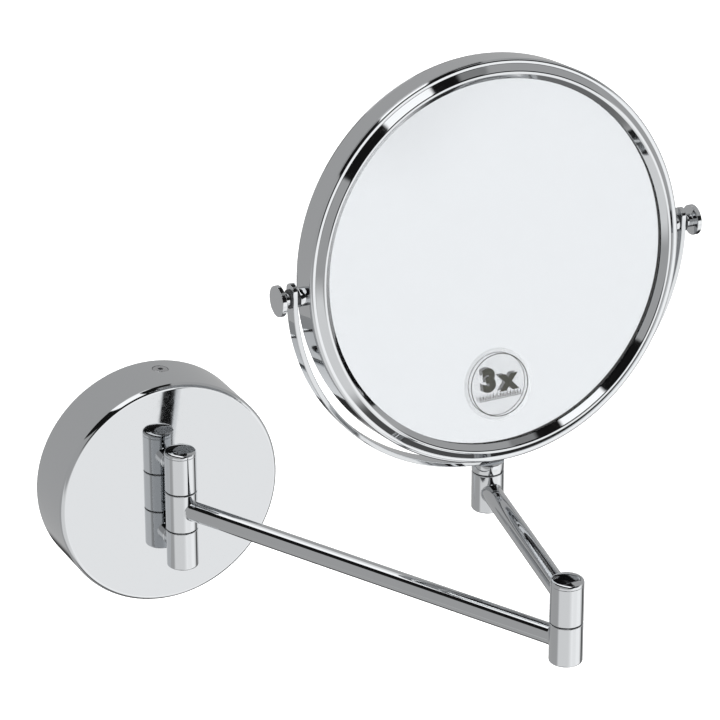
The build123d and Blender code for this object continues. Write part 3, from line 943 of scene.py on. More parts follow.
@dataclass
class HingeColumns:
    """Stacked knuckles on pins: the wall column, the elbow and the swivel under the yoke."""

    radius: float = 8.0
    edge: float = 0.35
    end_radius: float = 0.9
    fixed_bore: float = 3.02
    running_bore: float = 3.05
    pocket_radius: float = 5.4
    pocket_depth: float = 7.0
    pin_depth: float = 16.3
    cap_height: float = 2.5
    cap_shoulder: float = 1.8
    cap_dome: float = 0.8
    cap_steps: int = 16
    plug_depth: float = 2.4
    plug_gap: float = 0.02
    sides: int = 96
    washer_edge: float = 0.1

    def knuckle(
        self, node: str, body: Body, bore: float, foot: float, kind: Bore
    ) -> None:
        """Make one knuckle in the place of its CAD node.

        Args:
            node: CAD node that it replaces.
            body: what it moves with.
            bore: radius of the pin's bore.
            foot: rounding of the bottom edge.
            kind: how it is bored.
        """
        spindle, top = upright(node)
        outer = [Corner(self.radius, 0, foot), Corner(self.radius, top, self.edge)]
        if kind is Bore.BLIND:
            end = top - self.pin_depth
            corners = [Corner(0, 0), *outer, Corner(bore, top), Corner(bore, end), Corner(0, end)]
        elif kind is Bore.POCKET_TOP:
            shelf = top - self.pocket_depth
            pocket = [Corner(self.pocket_radius, top), Corner(self.pocket_radius, shelf)]
            corners = [Corner(bore, 0), *outer, *pocket, Corner(bore, shelf)]
        elif kind is Bore.POCKET_FOOT:
            shelf = self.pocket_depth
            pocket = [Corner(bore, shelf), Corner(self.pocket_radius, shelf)]
            corners = [Corner(self.pocket_radius, 0), *outer, Corner(bore, top), *pocket]
        else:
            corners = [Corner(bore, 0), *outer, Corner(bore, top)]
        closed = kind is not Bore.BLIND
        piece = spindle.lathe(f"{node}_turned", rounded(corners, closed, 5), self.sides, closed)
        install(piece, body, Coat.CHROME, node)

    def cap(self, node: str, knuckle: str, body: Body) -> None:
        """Make a domed cap that plugs the top of a column.

        Args:
            node: CAD node that it replaces.
            knuckle: the knuckle it sits on.
            body: what it moves with.
        """
        middle = centre_of(node)
        spindle = Spindle(Vector((middle.x, middle.y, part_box(knuckle)[1].z)), UP)
        spigot = self.pocket_radius - self.plug_gap
        shoulder = self.radius - self.cap_shoulder
        lean = 2 * math.atan2(self.cap_dome, shoulder)
        dome_radius = shoulder / math.sin(lean) + self.cap_shoulder
        skirt = rounded(
            [
                Corner(0, -self.plug_depth),
                Corner(spigot, -self.plug_depth, 0.2),
                Corner(spigot, 0.01),
                Corner(self.radius, 0.01, 0.1),
                Corner(self.radius, self.cap_height - self.cap_shoulder),
            ],
            steps=4,
        )
        # The shoulder runs on into the dome without a crease
        rim = []
        for step in range(1, self.cap_steps + 1):
            swing = (math.pi / 2 - lean) * step / self.cap_steps
            along = self.cap_height - self.cap_shoulder * (1 - math.sin(swing))
            rim.append((shoulder + self.cap_shoulder * math.cos(swing), along))
        dome = []
        for step in range(1, self.cap_steps + 1):
            swing = lean * (1 - step / self.cap_steps)
            fall = dome_radius * (1 - math.cos(swing))
            dome.append((dome_radius * math.sin(swing), self.cap_height + self.cap_dome - fall))
        piece = spindle.lathe(f"{node}_domed", skirt + rim + dome, self.sides)
        install(piece, body, Coat.CHROME, node)

    def washer(self, node: str) -> None:
        """Make a thin nylon washer.

        Args:
            node: CAD node that it replaces.
        """
        low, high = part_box(node)
        out = (high.x - low.x) / 2 / MM
        spindle, top = upright(node)
        corners = [
            Corner(self.running_bore, 0),
            Corner(out, 0, self.washer_edge),
            Corner(out, top, self.washer_edge),
            Corner(self.running_bore, top),
        ]
        piece = spindle.lathe(f"{node}_ring", rounded(corners, True, 3), 72, True)
        install(piece, body_of(node), Coat.NYLON, node)

    def build(self) -> None:
        """Make and install the three columns."""
        for node, body, bore, foot, kind in (
            ("wall_knuckle_upper", Body.WALL, self.fixed_bore, self.edge, Bore.POCKET_TOP),
            ("wall_knuckle_middle", Body.INNER_ARM, self.running_bore, self.edge, Bore.THROUGH),
            ("wall_knuckle_lower", Body.WALL, self.fixed_bore, self.end_radius, Bore.BLIND),
            ("elbow_knuckle_upper", Body.OUTER_ARM, self.running_bore, self.edge, Bore.POCKET_TOP),
            ("elbow_knuckle_lower", Body.INNER_ARM, self.fixed_bore, self.end_radius, Bore.BLIND),
            ("swivel_knuckle", Body.OUTER_ARM, self.running_bore, self.end_radius, Bore.POCKET_FOOT),
        ):
            self.knuckle(node, body, bore, foot, kind)
        self.cap("wall_column_cap", "wall_knuckle_upper", Body.WALL)
        self.cap("elbow_cap", "elbow_knuckle_upper", Body.OUTER_ARM)
        for node in ("wall_washer_upper", "wall_washer_lower", "elbow_washer", "swivel_washer"):
            self.washer(node)
        for node in ("wall_hinge_pin", "elbow_pin", "swivel_pin"):
            dress(node, Coat.STEEL)
        spindle, top = upright("swivel_plug")
        out = self.pocket_radius - self.plug_gap
        corners = [Corner(0, 0), Corner(out, 0, 0.4), Corner(out, top), Corner(0, top)]
        plug = spindle.lathe("swivel_foot_plug", rounded(corners), 72)
        install(plug, Body.OUTER_ARM, Coat.CHROME, "swivel_plug")


# ------------------------------------------------------------------ arms


@dataclass
class Arm:
    """Chromed tube between two columns, its ends cut to the round knuckles and brazed on."""

    node: str
    start: str
    end: str
    body: Body
    radius: float = 5.0
    wall: float = 1.2
    post: float = 8.0
    braze: float = 0.35
    gap: float = 0.02
    sides: int = 96

    def build(self) -> None:
        """Make and install the tube."""
        first, last = centre_of(self.start), centre_of(self.end)
        first.z = last.z = centre_of(self.node).z
        run = last - first
        ahead = Spindle(first, run.normalized())
        rings = self.saddle(ahead, 0.0, True) + self.saddle(ahead, run.length / MM, False)
        piece = skin(f"{self.node}_drawn", rings, True)
        install(piece, self.body, Coat.CHROME, self.node)

    def saddle(self, spindle: Spindle, post_at: float, start: bool) -> list[Ring]:
        """Rings that end the tube on a post.

        Args:
            spindle: the tube's axis.
            post_at: where the post's axis stands along the tube, in millimetres.
            start: whether this is the tube's first end.

        Returns:
            Rings from the bore outwards at the start, and from outside inwards at the end.
        """
        sign = 1.0 if start else -1.0
        # Radius and clearance to the post of each ring: the bore, the fillet of braze, then the tube
        steps = [
            (self.radius - self.wall, self.gap),
            (self.radius + self.braze, self.gap),
            (self.radius + self.braze * 0.3, self.braze * 0.5),
            (self.radius, self.braze * 1.6),
            (self.radius, self.braze * 3.0),
        ]
        level = spindle.level()
        rings = []
        for out, clear in steps:
            ring = []
            for k in range(self.sides):
                angle = 2 * math.pi * k / self.sides
                sideways = (spindle.at(angle, out, 0) - spindle.origin).dot(level) / MM
                along = post_at + sign * (math.sqrt(self.post**2 - sideways**2) + clear)
                ring.append(spindle.at(angle, out, along))
            rings.append(ring)
        return rings if start else rings[::-1]


# ------------------------------------------------------------------ yoke


@dataclass
class Yoke:
    """Flat chromed band bent round the lower half of the head, on its seat, held by a screw."""

    radius: float = 106.0
    thickness: float = 2.5
    width: float = 8.0
    ear: float = 7.6
    edge: float = 0.45
    stud_bore: float = 2.05
    screw_bore: float = 2.02
    screw_radius: float = 3.5
    screw_height: float = 1.2
    screw_edge: float = 0.4
    seat_radius: float = 8.0
    seat_bore: float = 3.02
    seat_floor: float = 2.55
    seat_gap: float = 0.02
    seat_sides: int = 96
    ear_steps: int = 12
    turns: int = 160

    def build(self, centre: Vector) -> None:
        """Make and install the yoke's pieces.

        Args:
            centre: the middle of the mirror head.
        """
        cutters = []
        for side in (-1, 1):
            ear = Spindle(centre + SIDEWAYS * side * self.radius * MM, SIDEWAYS * side)
            cutters.append(ear.rod(self.stud_bore, -5, 3))
        cutters.append(Spindle(centre - UP * self.radius * MM, UP).rod(self.screw_bore, -3, 5))
        band = bored(self.band(centre), cutters)
        install(band, Body.YOKE, Coat.CHROME, "yoke_band")
        self.seat(centre)
        foot, length = upright("yoke_screw")
        reach = length - self.screw_height
        screw = SocketScrew(self.screw_radius, self.screw_height, self.screw_edge, reach)
        button = screw.make("yoke_screw_button", Spindle(foot.origin + UP * reach * MM, UP))
        install(button, Body.YOKE, Coat.STEEL, "yoke_screw")

    def band(self, centre: Vector) -> Piece:
        """Sweep the band's rounded section from one ear, under the head, to the other.

        Args:
            centre: the middle of the head.

        Returns:
            The band, without its holes.
        """
        half_thick, half_wide = self.thickness / 2, self.width / 2
        corners = [
            Corner(out * half_thick, across * half_wide, self.edge)
            for out, across in ((1, -1), (1, 1), (-1, 1), (-1, -1))
        ]
        section = held(rounded(corners, True, 5), True)
        mean = self.radius - half_thick
        straight = self.ear - half_wide
        # Each station: its place from the centre, the way out, and the share of the full width there
        stations: list[tuple[Vector, Vector, float]] = []
        for step in range(self.ear_steps):
            swing = math.pi / 2 * (1 - step / self.ear_steps)
            place = Vector((-mean, 0, straight + half_wide * math.sin(swing)))
            stations.append((place, -SIDEWAYS, max(math.cos(swing), 0.02)))
        stations.append((Vector((-mean, 0, straight)), -SIDEWAYS, 1.0))
        ear = list(stations)
        for step in range(self.turns + 1):
            angle = math.pi + math.pi * step / self.turns
            outward = Vector((math.cos(angle), 0, math.sin(angle)))
            stations.append((outward * mean, outward, 1.0))
        for place, outward, share in reversed(ear):
            stations.append((Vector((-place.x, 0, place.z)), -outward, share))
        rings: Rings = [centre + stations[0][0] * MM]
        for place, outward, share in stations:
            offsets = [outward * out + Vector((0, across * share, 0)) for out, across in section]
            rings.append([centre + (place + offset) * MM for offset in offsets])
        rings.append(centre + stations[-1][0] * MM)
        return skin("yoke_band_bent", rings)

    def seat(self, centre: Vector) -> None:
        """Make the short knuckle under the band, hollowed on top to cradle it.

        Args:
            centre: the middle of the head.
        """
        spindle, _ = upright("yoke_seat")
        top = (centre.z - spindle.origin.z) / MM - self.radius
        count = self.seat_sides
        cradle = self.radius + self.seat_gap

        def hollow(out: float, drop: float) -> Ring:
            """Ring that lies in the hollow, or below it by the drop."""
            ring = []
            for k in range(count):
                angle = 2 * math.pi * k / count
                sideways = (spindle.at(angle, out, 0).x - centre.x) / MM
                rise = cradle - math.sqrt(cradle**2 - sideways**2)
                ring.append(spindle.at(angle, out, top + rise - self.seat_gap - drop))
            return ring

        outer = self.seat_radius
        foot = ((self.seat_bore, 0.0), (outer - 0.35, 0.0), (outer - 0.1, 0.1), (outer, 0.35))
        lip = ((outer, 0.3), (outer - 0.1, 0.09), (outer - 0.3, 0.0), (self.screw_bore, 0.0))
        shelf = ((self.screw_bore, self.seat_floor), (self.seat_bore, self.seat_floor))
        rings: Rings = [spindle.circle(count, out, along) for out, along in foot]
        rings += [hollow(out, drop) for out, drop in lip]
        rings += [spindle.circle(count, out, along) for out, along in shelf]
        install(skin("yoke_seat_turned", rings, True), Body.YOKE, Coat.CHROME, "yoke_seat")


# ------------------------------------------------------------------ mirror head


@dataclass
class MirrorHead:
    """Two-sided head: rim band, two spun bezels, a magnifying and a plain glass, and the core between."""

    radius: float = 98.8
    tilt: float = 6.8
    band_wall: float = 1.8
    band_half: float = 6.7
    glass_radius: float = 91.3
    glass_thickness: float = 2.5
    glass_face: float = 8.1
    silver_skin: float = 0.2
    sight: float = 89.3
    sight_edge: float = 0.3
    side: float = 7.4
    ledge: float = 8.2
    ledge_outer: float = 97.4
    ledge_inner: float = 96.4
    ledge_hollow: float = 0.6
    crown_outer: float = 93.7
    crown_inner: float = 91.7
    crown_spring: float = 10.5
    gap: float = 0.02
    band_edge: float = 0.12
    stud_bore: float = 2.02
    glass_room: float = 0.3
    glass_seat: float = 0.5
    silver_gap: float = 0.01
    bevel: float = 0.3
    curve: float = 800.0
    sides: int = 288
    curve_steps: int = 12
    dish_steps: int = 24

    def axis(self) -> Vector:
        """Direction that the viewer's side faces."""
        lean = math.radians(self.tilt)
        return Vector((0, -math.cos(lean), math.sin(lean)))

    def rise(self) -> Vector:
        """Direction up the face of the head."""
        lean = math.radians(self.tilt)
        return Vector((0, math.sin(lean), math.cos(lean)))

    def dish(self, out: float) -> float:
        """How far the concave face lies behind its own edge, in millimetres."""
        edge = math.sqrt(self.curve**2 - self.glass_radius**2)
        return math.sqrt(self.curve**2 - out**2) - edge

    def build(self, centre: Vector) -> None:
        """Make and install the head's pieces.

        Args:
            centre: the middle of the head.
        """
        spindle = Spindle(centre, self.axis())
        back = Spindle(centre, -self.axis())
        inner = self.radius - self.band_wall
        band = rounded(
            [
                Corner(self.radius, -self.band_half, self.band_edge),
                Corner(self.radius, self.band_half, self.band_edge),
                Corner(inner, self.band_half),
                Corner(inner, -self.band_half),
            ],
            True,
            3,
        )
        rim = spindle.lathe("rim_band_rolled", band, self.sides, True)
        cutters = []
        for side in (-1, 1):
            pivot = Spindle(centre + SIDEWAYS * side * self.radius * MM, SIDEWAYS * side)
            cutters.append(pivot.rod(self.stud_bore, -4, 2))
        install(bored(rim, cutters), Body.HEAD, Coat.CHROME, "rim_band")
        for node, side in (("front_bezel", spindle), ("rear_bezel", back)):
            install(self.bezel(f"{node}_spun", side), Body.HEAD, Coat.CHROME, node)
        self.magnifying_pane(spindle)
        self.plain_pane(back)
        dress("head_core", Coat.CORE)

    def bezel(self, name: str, spindle: Spindle) -> Piece:
        """Spin one bezel: rounded shoulder, flat ledge, and a lip with a crown, hooked over the glass.

        Args:
            name: the piece's name.
            spindle: axis out of the head's middle, towards the bezel's side.

        Returns:
            The bezel.
        """
        joint = self.band_half + self.gap
        rabbet = self.glass_face - self.glass_thickness - self.glass_seat
        lip_back = self.glass_face + self.gap
        bore = self.glass_radius + self.glass_room
        inner = self.radius - self.band_wall - self.gap
        edge = self.band_edge
        points = [(self.radius - edge, joint), (self.radius, joint + edge), (self.radius, self.side)]
        # Shoulder: an arc that ends level with the ledge
        width, height = self.radius - self.ledge_outer, self.ledge - self.side
        curve = (width * width + height * height) / (2 * height)
        steps = self.curve_steps
        for step in range(1, steps + 1):
            swing = math.asin(width / curve) * (1 - step / steps)
            fall = curve * (1 - math.cos(swing))
            points.append((self.ledge_outer + curve * math.sin(swing), self.ledge - fall))
        lip = rounded(
            [
                Corner(self.ledge_outer, self.ledge),
                Corner(self.ledge_inner, self.ledge, self.ledge_hollow),
                Corner(self.crown_outer, self.crown_spring),
            ],
            steps=6,
        )
        points += lip[1:]
        # Crown: an arc as steep at its ends as the lip's flank
        crown_top = (self.crown_outer + self.crown_inner) / 2
        flank = math.atan2(self.crown_spring - self.ledge, self.ledge_inner - self.crown_outer)
        crown_curve = (self.crown_outer - self.crown_inner) / 2 / math.sin(flank)
        for step in range(1, steps + 1):
            swing = flank * (1 - 2 * step / steps)
            rise = crown_curve * (math.cos(swing) - math.cos(flank))
            points.append((crown_top + crown_curve * math.sin(swing), self.crown_spring + rise))
        sight_top = lip_back + self.sight_edge
        points += [(self.sight + 0.12, sight_top + 0.1), (self.sight, sight_top - 0.02)]
        points += [(self.sight, lip_back), (bore, lip_back), (bore, rabbet), (inner, rabbet), (inner, joint)]
        return spindle.lathe(name, points, self.sides, True)

    def magnifying_pane(self, spindle: Spindle) -> None:
        """Make the slumped glass with its silver behind it.

        Args:
            spindle: axis out of the head's middle, towards the viewer.
        """
        outs = [self.glass_radius * k / self.dish_steps for k in range(self.dish_steps + 1)]
        face = self.glass_face
        back = face - self.glass_thickness + self.silver_skin
        pane = [(out, face - self.dish(out)) for out in outs]
        pane += [(out, back - self.dish(out)) for out in reversed(outs)]
        glass = spindle.lathe("magnifying_pane", pane, self.sides)
        install(glass, Body.HEAD, Coat.GLASS, "magnifying_glass")
        sheet = [(out, back - self.silver_gap - self.dish(out)) for out in outs]
        sheet += [(out, back - self.silver_skin - self.dish(out)) for out in reversed(outs)]
        silver = spindle.lathe("magnifying_silver", sheet, self.sides)
        install(silver, Body.HEAD, Coat.SILVER)

    def plain_pane(self, spindle: Spindle) -> None:
        """Make the flat glass on the wall's side, with its silver behind it.

        Args:
            spindle: axis out of the head's middle, towards the wall.
        """
        face = self.glass_face
        back = face - self.glass_thickness + self.silver_skin
        edge = self.glass_radius
        pane = [(0, face), (edge - self.bevel, face), (edge, face - self.bevel), (edge, back), (0, back)]
        glass = spindle.lathe("plain_pane", pane, self.sides)
        install(glass, Body.HEAD, Coat.GLASS, "plain_glass")
        front, rear = back - self.silver_gap, back - self.silver_skin
        sheet = [(0, front), (edge, front), (edge, rear), (0, rear)]
        silver = spindle.lathe("plain_silver", sheet, self.sides)
        install(silver, Body.HEAD, Coat.SILVER)


@dataclass(frozen=True)
class Figure:
    """A printed figure, in millimetres from the label's middle."""

    name: str
    text: str
    height: float
    left: float
    base: float
    weight: float


FIGURES = (
    Figure("label_power", "3", 12.0, -8.9, -2.8, 0.62),
    Figure("label_times", "x", 8.2, -0.2, -3.6, 0.5),
)


@dataclass
class PowerLabel:
    """Round clear sticker on the magnifying glass, with a ring, the power and a small ruled scale."""

    head: MirrorHead
    x: float = -1.1
    drop: float = 61.4
    radius: float = 17.5
    thickness: float = 0.15
    ring_radius: float = 15.3
    ring_line: float = 0.42
    film_lift: float = 0.01
    print_lift: float = 0.02
    ticks: int = 25
    tick_pitch: float = 0.92
    tick_height: float = 2.0
    tick_half_width: float = 0.17
    short_tick: float = 0.62
    tick_base: float = -6.3
    rule_low: float = -6.7
    rule_high: float = -6.45

    def lay(self, centre: Vector, x: float, up: float, lift: float) -> Vector:
        """Point on the concave face, lifted off it.

        Args:
            centre: the middle of the head.
            x: sideways from the label's middle, in millimetres.
            up: up the face from the label's middle.
            lift: height above the glass.

        Returns:
            The place in metres.
        """
        axis = self.head.axis()
        rise = self.head.rise()
        across, along = self.x + x, up - self.drop
        depth = self.head.glass_face - self.head.dish(math.hypot(across, along)) + lift
        return centre + (SIDEWAYS * across + rise * along + axis * depth) * MM

    def patch(self, name: str, centre: Vector, outer: float, inner: float, low: float, high: float) -> Piece:
        """Thin ring or disc that follows the face.

        Args:
            name: the piece's name.
            centre: the middle of the head.
            outer: outer radius.
            inner: inner radius.
            low: height of its back above the glass.
            high: height of its front above the glass.

        Returns:
            The piece.
        """
        count, spans = 120, 8
        rings: Rings = []
        shares = [k / spans for k in range(spans + 1)]
        for lift, order in ((high, shares), (low, shares[::-1])):
            for share in order:
                out = inner + (outer - inner) * share
                turns = [2 * math.pi * k / count for k in range(count)]
                rings.append([self.lay(centre, out * math.cos(t), out * math.sin(t), lift) for t in turns])
        return skin(name, rings, True)

    def glyph(self, figure: Figure, centre: Vector) -> Piece:
        """Bold figure printed on the film.

        Args:
            figure: what is printed, and where.
            centre: the middle of the head.

        Returns:
            The piece.
        """
        name = figure.name
        curve = bpy.data.curves.new(name, "FONT")
        curve.body = figure.text
        curve.size = 10.0
        curve.resolution_u = 6
        curve.offset = figure.weight
        holder = bpy.data.objects.new(f"{name}_type", curve)
        bpy.context.scene.collection.objects.link(holder)
        bpy.context.view_layer.update()
        flat = bpy.data.meshes.new_from_object(holder.evaluated_get(bpy.context.evaluated_depsgraph_get()))
        bpy.data.objects.remove(holder)
        xs = [v.co.x for v in flat.vertices]
        ys = [v.co.y for v in flat.vertices]
        scale = figure.height / (max(ys) - min(ys))
        work = bmesh.new()
        work.from_mesh(flat)
        bmesh.ops.remove_doubles(work, verts=work.verts, dist=1e-5)
        for vert in work.verts:
            x = figure.left + (vert.co.x - min(xs)) * scale
            up = figure.base + (vert.co.y - min(ys)) * scale
            vert.co = self.lay(centre, x, up, self.thickness + self.print_lift)
        bmesh.ops.recalc_face_normals(work, faces=work.faces)
        out = self.head.axis()
        if sum((f.normal.dot(out) for f in work.faces)) < 0:
            bmesh.ops.reverse_faces(work, faces=work.faces)
        work.to_mesh(flat)
        work.free()
        flat.name = name
        piece = bpy.data.objects.new(name, flat)
        bpy.context.scene.collection.objects.link(piece)
        return piece

    def scale_bars(self, centre: Vector) -> Piece:
        """Row of short ruled strokes on a line, under the figure.

        Args:
            centre: the middle of the head.

        Returns:
            The scale, in one piece.
        """
        bars: list[tuple[float, float, float, float]] = []
        for number in range(self.ticks):
            x = (number - (self.ticks - 1) / 2) * self.tick_pitch
            tall = self.tick_height * (1.0 if number % 2 == 0 else self.short_tick)
            half = self.tick_half_width
            bars.append((x - half, x + half, self.tick_base, self.tick_base + tall))
        reach = self.ticks * self.tick_pitch / 2
        bars.append((-reach, reach, self.rule_low, self.rule_high))
        verts: list[Vector] = []
        faces: list[list[int]] = []
        for left, right, low, high in bars:
            start = len(verts)
            for x, up in ((left, low), (right, low), (right, high), (left, high)):
                verts.append(self.lay(centre, x, up, self.thickness + self.print_lift))
            faces.append([start, start + 1, start + 2, start + 3])
        return finish_mesh("label_scale", verts, faces)

    def build(self, centre: Vector) -> None:
        """Make and install the sticker and its print.

        Args:
            centre: the middle of the head.
        """
        film = self.patch("label_film_disc", centre, self.radius, 0.05, self.film_lift, self.thickness)
        install(film, Body.HEAD, Coat.FILM, "magnification_label")
        outer, inner = self.ring_radius + self.ring_line / 2, self.ring_radius - self.ring_line / 2
        lift = self.thickness + self.film_lift
        ring = self.patch("label_ring", centre, outer, inner, lift, lift + self.print_lift)
        prints = [ring, *(self.glyph(figure, centre) for figure in FIGURES), self.scale_bars(centre)]
        for piece in prints:
            install(piece, Body.HEAD, Coat.INK)


# ------------------------------------------------------------------ tilt pivots


@dataclass
class TiltPivots:
    """Boss, washers, stud and clamping knob on each side of the head."""

    head_radius: float = 98.8
    boss_radius: float = 4.6
    boss_length: float = 3.4
    stud_bore: float = 2.02
    knob_radius: float = 7.5
    knob_thickness: float = 2.5
    neck_radius: float = 3.3
    outer_face: float = 113.0
    end_wall: float = 0.8
    yoke_radius: float = 106.0
    washer_thickness: float = 0.8
    washer_edge: float = 0.12
    knob_bore: float = 2.05
    knob_gap: float = 0.05
    foot_gap: float = 0.02
    sides: int = 72

    def build(self, centre: Vector) -> None:
        """Make and install both pivots."""
        for name, side, knob_body in (("left", -1, Body.LEFT_KNOB), ("right", 1, Body.RIGHT_KNOB)):
            spindle = Spindle(centre, SIDEWAYS * side)
            self.boss(name, spindle, centre)
            self.knob(name, spindle, knob_body)
            self.washers(name, spindle)
            dress(f"{name}_pivot_stud", Coat.STEEL)

    def boss(self, name: str, spindle: Spindle, centre: Vector) -> None:
        """Make the turned collar whose foot follows the rim's curve.

        Args:
            name: "left" or "right".
            spindle: the tilt axis, out of the head on that side.
            centre: the middle of the head.
        """
        end = self.head_radius + self.boss_length
        rise = MirrorHead().rise()

        def foot(out: float) -> Ring:
            """Ring that lies on the rim."""
            ring = []
            for k in range(self.sides):
                angle = 2 * math.pi * k / self.sides
                up = (spindle.at(angle, out, 0) - centre).dot(rise) / MM
                along = math.sqrt(self.head_radius**2 - up**2) + self.foot_gap
                ring.append(spindle.at(angle, out, along))
            return ring

        outer = self.boss_radius
        collar = ((outer, end - 0.35), (outer - 0.1, end - 0.1), (outer - 0.35, end), (self.stud_bore, end))
        rings: Rings = [foot(self.stud_bore), foot(outer)]
        rings += [spindle.circle(self.sides, out, along) for out, along in collar]
        piece = skin(f"{name}_boss_collar", rings, True)
        install(piece, Body.HEAD, Coat.CHROME, f"{name}_pivot_boss")

    def washers(self, name: str, spindle: Spindle) -> None:
        """Make the thin nylon rings each side of the yoke's ear.

        Args:
            name: "left" or "right".
            spindle: the tilt axis, out of the head on that side.
        """
        for place in ("inner", "outer"):
            node = f"{name}_{place}_washer"
            low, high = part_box(node)
            near, far = sorted(abs(x - spindle.origin.x) / MM for x in (low.x, high.x))
            out = (high.z - low.z) / 2 / MM
            corners = [
                Corner(self.knob_bore, near),
                Corner(out, near, self.washer_edge),
                Corner(out, far, self.washer_edge),
                Corner(self.knob_bore, far),
            ]
            piece = spindle.lathe(f"{node}_ring", rounded(corners, True, 3), 64, True)
            install(piece, body_of(node), Coat.NYLON, node)

    def knob(self, name: str, spindle: Spindle, body: Body) -> None:
        """Make the plain disc with eased edges on a short neck, bored for the stud.

        Args:
            name: "left" or "right".
            spindle: the tilt axis, out of the head on that side.
            body: what it moves with.
        """
        back = self.outer_face - self.knob_thickness
        neck = self.yoke_radius + self.washer_thickness + self.knob_gap
        bore_end = self.outer_face - self.end_wall
        outside = rounded(
            [
                Corner(self.knob_bore, neck),
                Corner(self.neck_radius, neck, 0.15),
                Corner(self.neck_radius, back, 0.3),
                Corner(self.knob_radius, back, 0.35),
                Corner(self.knob_radius, self.outer_face, 0.35),
                Corner(0, self.outer_face),
            ],
            steps=6,
        )
        bore = [(0.0, bore_end), (self.knob_bore, bore_end), (self.knob_bore, neck)]
        shell = spindle.lathe(f"{name}_knob_turned", outside + bore, 96)
        install(shell, body, Coat.CHROME, f"{name}_knob")


# ------------------------------------------------------------------ studio


@dataclass(frozen=True)
class Panel:
    """A soft-edged light or dark card, given by its direction from the object in degrees.

    Azimuth 0 looks at the wall and 90 to the right of it. Level is the card's brightness.
    """

    azimuth: float
    elevation: float
    half_width: float
    half_height: float
    level: float
    side_fade: float
    end_fade: float

    def mask(self, tree: Tree, way: Socket, sight: Vector) -> Socket:
        """Where the card is: 1 on it and 0 off it.

        Args:
            tree: the world's node tree.
            way: the direction being looked at.
            sight: the direction from which the object is seen. A panel doesn't need it.

        Returns:
            The mask's socket.
        """
        azimuth, elevation = math.radians(self.azimuth), math.radians(self.elevation)
        level = Vector((math.sin(azimuth), math.cos(azimuth), 0))
        middle = level * math.cos(elevation) + UP * math.sin(elevation)
        across = Vector((math.cos(azimuth), -math.sin(azimuth), 0))
        front = toward(tree, way, middle)
        mask = add_node(tree, "ShaderNodeMath", {0: front, 1: 0.0}, operation="GREATER_THAN").outputs[0]
        for direction, half, fade in (
            (across, self.half_width, self.side_fade),
            (across.cross(middle), self.half_height, self.end_fade),
        ):
            low = math.sin(math.radians(max(half - fade, 0.0)))
            high = math.sin(math.radians(min(half + fade, 90.0)))
            edge = within(tree, toward(tree, way, direction), 0.0, low, high)
            mask = add_node(tree, "ShaderNodeMath", {0: mask, 1: edge}, operation="MULTIPLY").outputs[0]
        return mask


@dataclass(frozen=True)
class Sector:
    """A card cut to the wedge in which the head's polished rim mirrors it.

    Clock is the place round the rim in degrees, 0 at the right and 90 at the top. Lean is how far the
    mirroring surface is tipped from the head's axis.
    """

    clock: float
    half_clock: float
    lean: float
    half_lean: float
    level: float
    clock_fade: float = 1.5
    lean_fade: float = 2.0

    def mask(self, tree: Tree, way: Socket, sight: Vector) -> Socket:
        """Where the card is: 1 on it and 0 off it.

        Args:
            tree: the world's node tree.
            way: the direction being looked at.
            sight: the direction from which the object is seen.

        Returns:
            The mask's socket.
        """
        head = MirrorHead()
        turn = math.radians(self.clock)
        spoke = SIDEWAYS * math.cos(turn) + head.rise() * math.sin(turn)
        square = head.rise() * math.cos(turn) - SIDEWAYS * math.sin(turn)
        between = add_node(tree, "ShaderNodeVectorMath", {0: way, 1: sight}, operation="SUBTRACT").outputs[0]
        normal = add_node(tree, "ShaderNodeVectorMath", {0: between}, operation="NORMALIZE").outputs[0]
        out, along, aside = (toward(tree, normal, axis) for axis in (head.axis(), spoke, square))
        lean = add_node(tree, "ShaderNodeMath", {0: out}, operation="ARCCOSINE").outputs[0]
        swing = add_node(tree, "ShaderNodeMath", {0: aside, 1: along}, operation="ARCTAN2").outputs[0]
        edges = []
        for value, middle, half, fade in (
            (lean, self.lean, self.half_lean, self.lean_fade),
            (swing, 0.0, self.half_clock, self.clock_fade),
        ):
            bounds = [math.radians(angle) for angle in (middle, half - fade / 2, half + fade / 2)]
            edges.append(within(tree, value, *bounds))
        return add_node(tree, "ShaderNodeMath", {0: edges[0], 1: edges[1]}, operation="MULTIPLY").outputs[0]


def toward(tree: Tree, way: Socket, direction: Vector) -> Socket:
    """How far a direction points along a fixed one: 1 along it, -1 against it."""
    values = {0: way, 1: direction}
    return add_node(tree, "ShaderNodeVectorMath", values, operation="DOT_PRODUCT").outputs["Value"]


def within(tree: Tree, value: Socket, middle: float, inner: float, outer: float) -> Socket:
    """Soft test of how near a value is to a middle.

    Args:
        tree: node tree that takes the nodes.
        value: what is tested.
        middle: the value at which the result is 1.
        inner: distance from the middle up to which it stays 1.
        outer: distance from which it is 0.

    Returns:
        The result's socket.
    """
    offset = add_node(tree, "ShaderNodeMath", {0: value, 1: middle}, operation="SUBTRACT").outputs[0]
    away = add_node(tree, "ShaderNodeMath", {0: offset}, operation="ABSOLUTE").outputs[0]
    ends = {"Value": away, 1: inner, 2: outer, 3: 1.0, 4: 0.0}
    return add_node(tree, "ShaderNodeMapRange", ends, interpolation_type="SMOOTHSTEP").outputs[0]


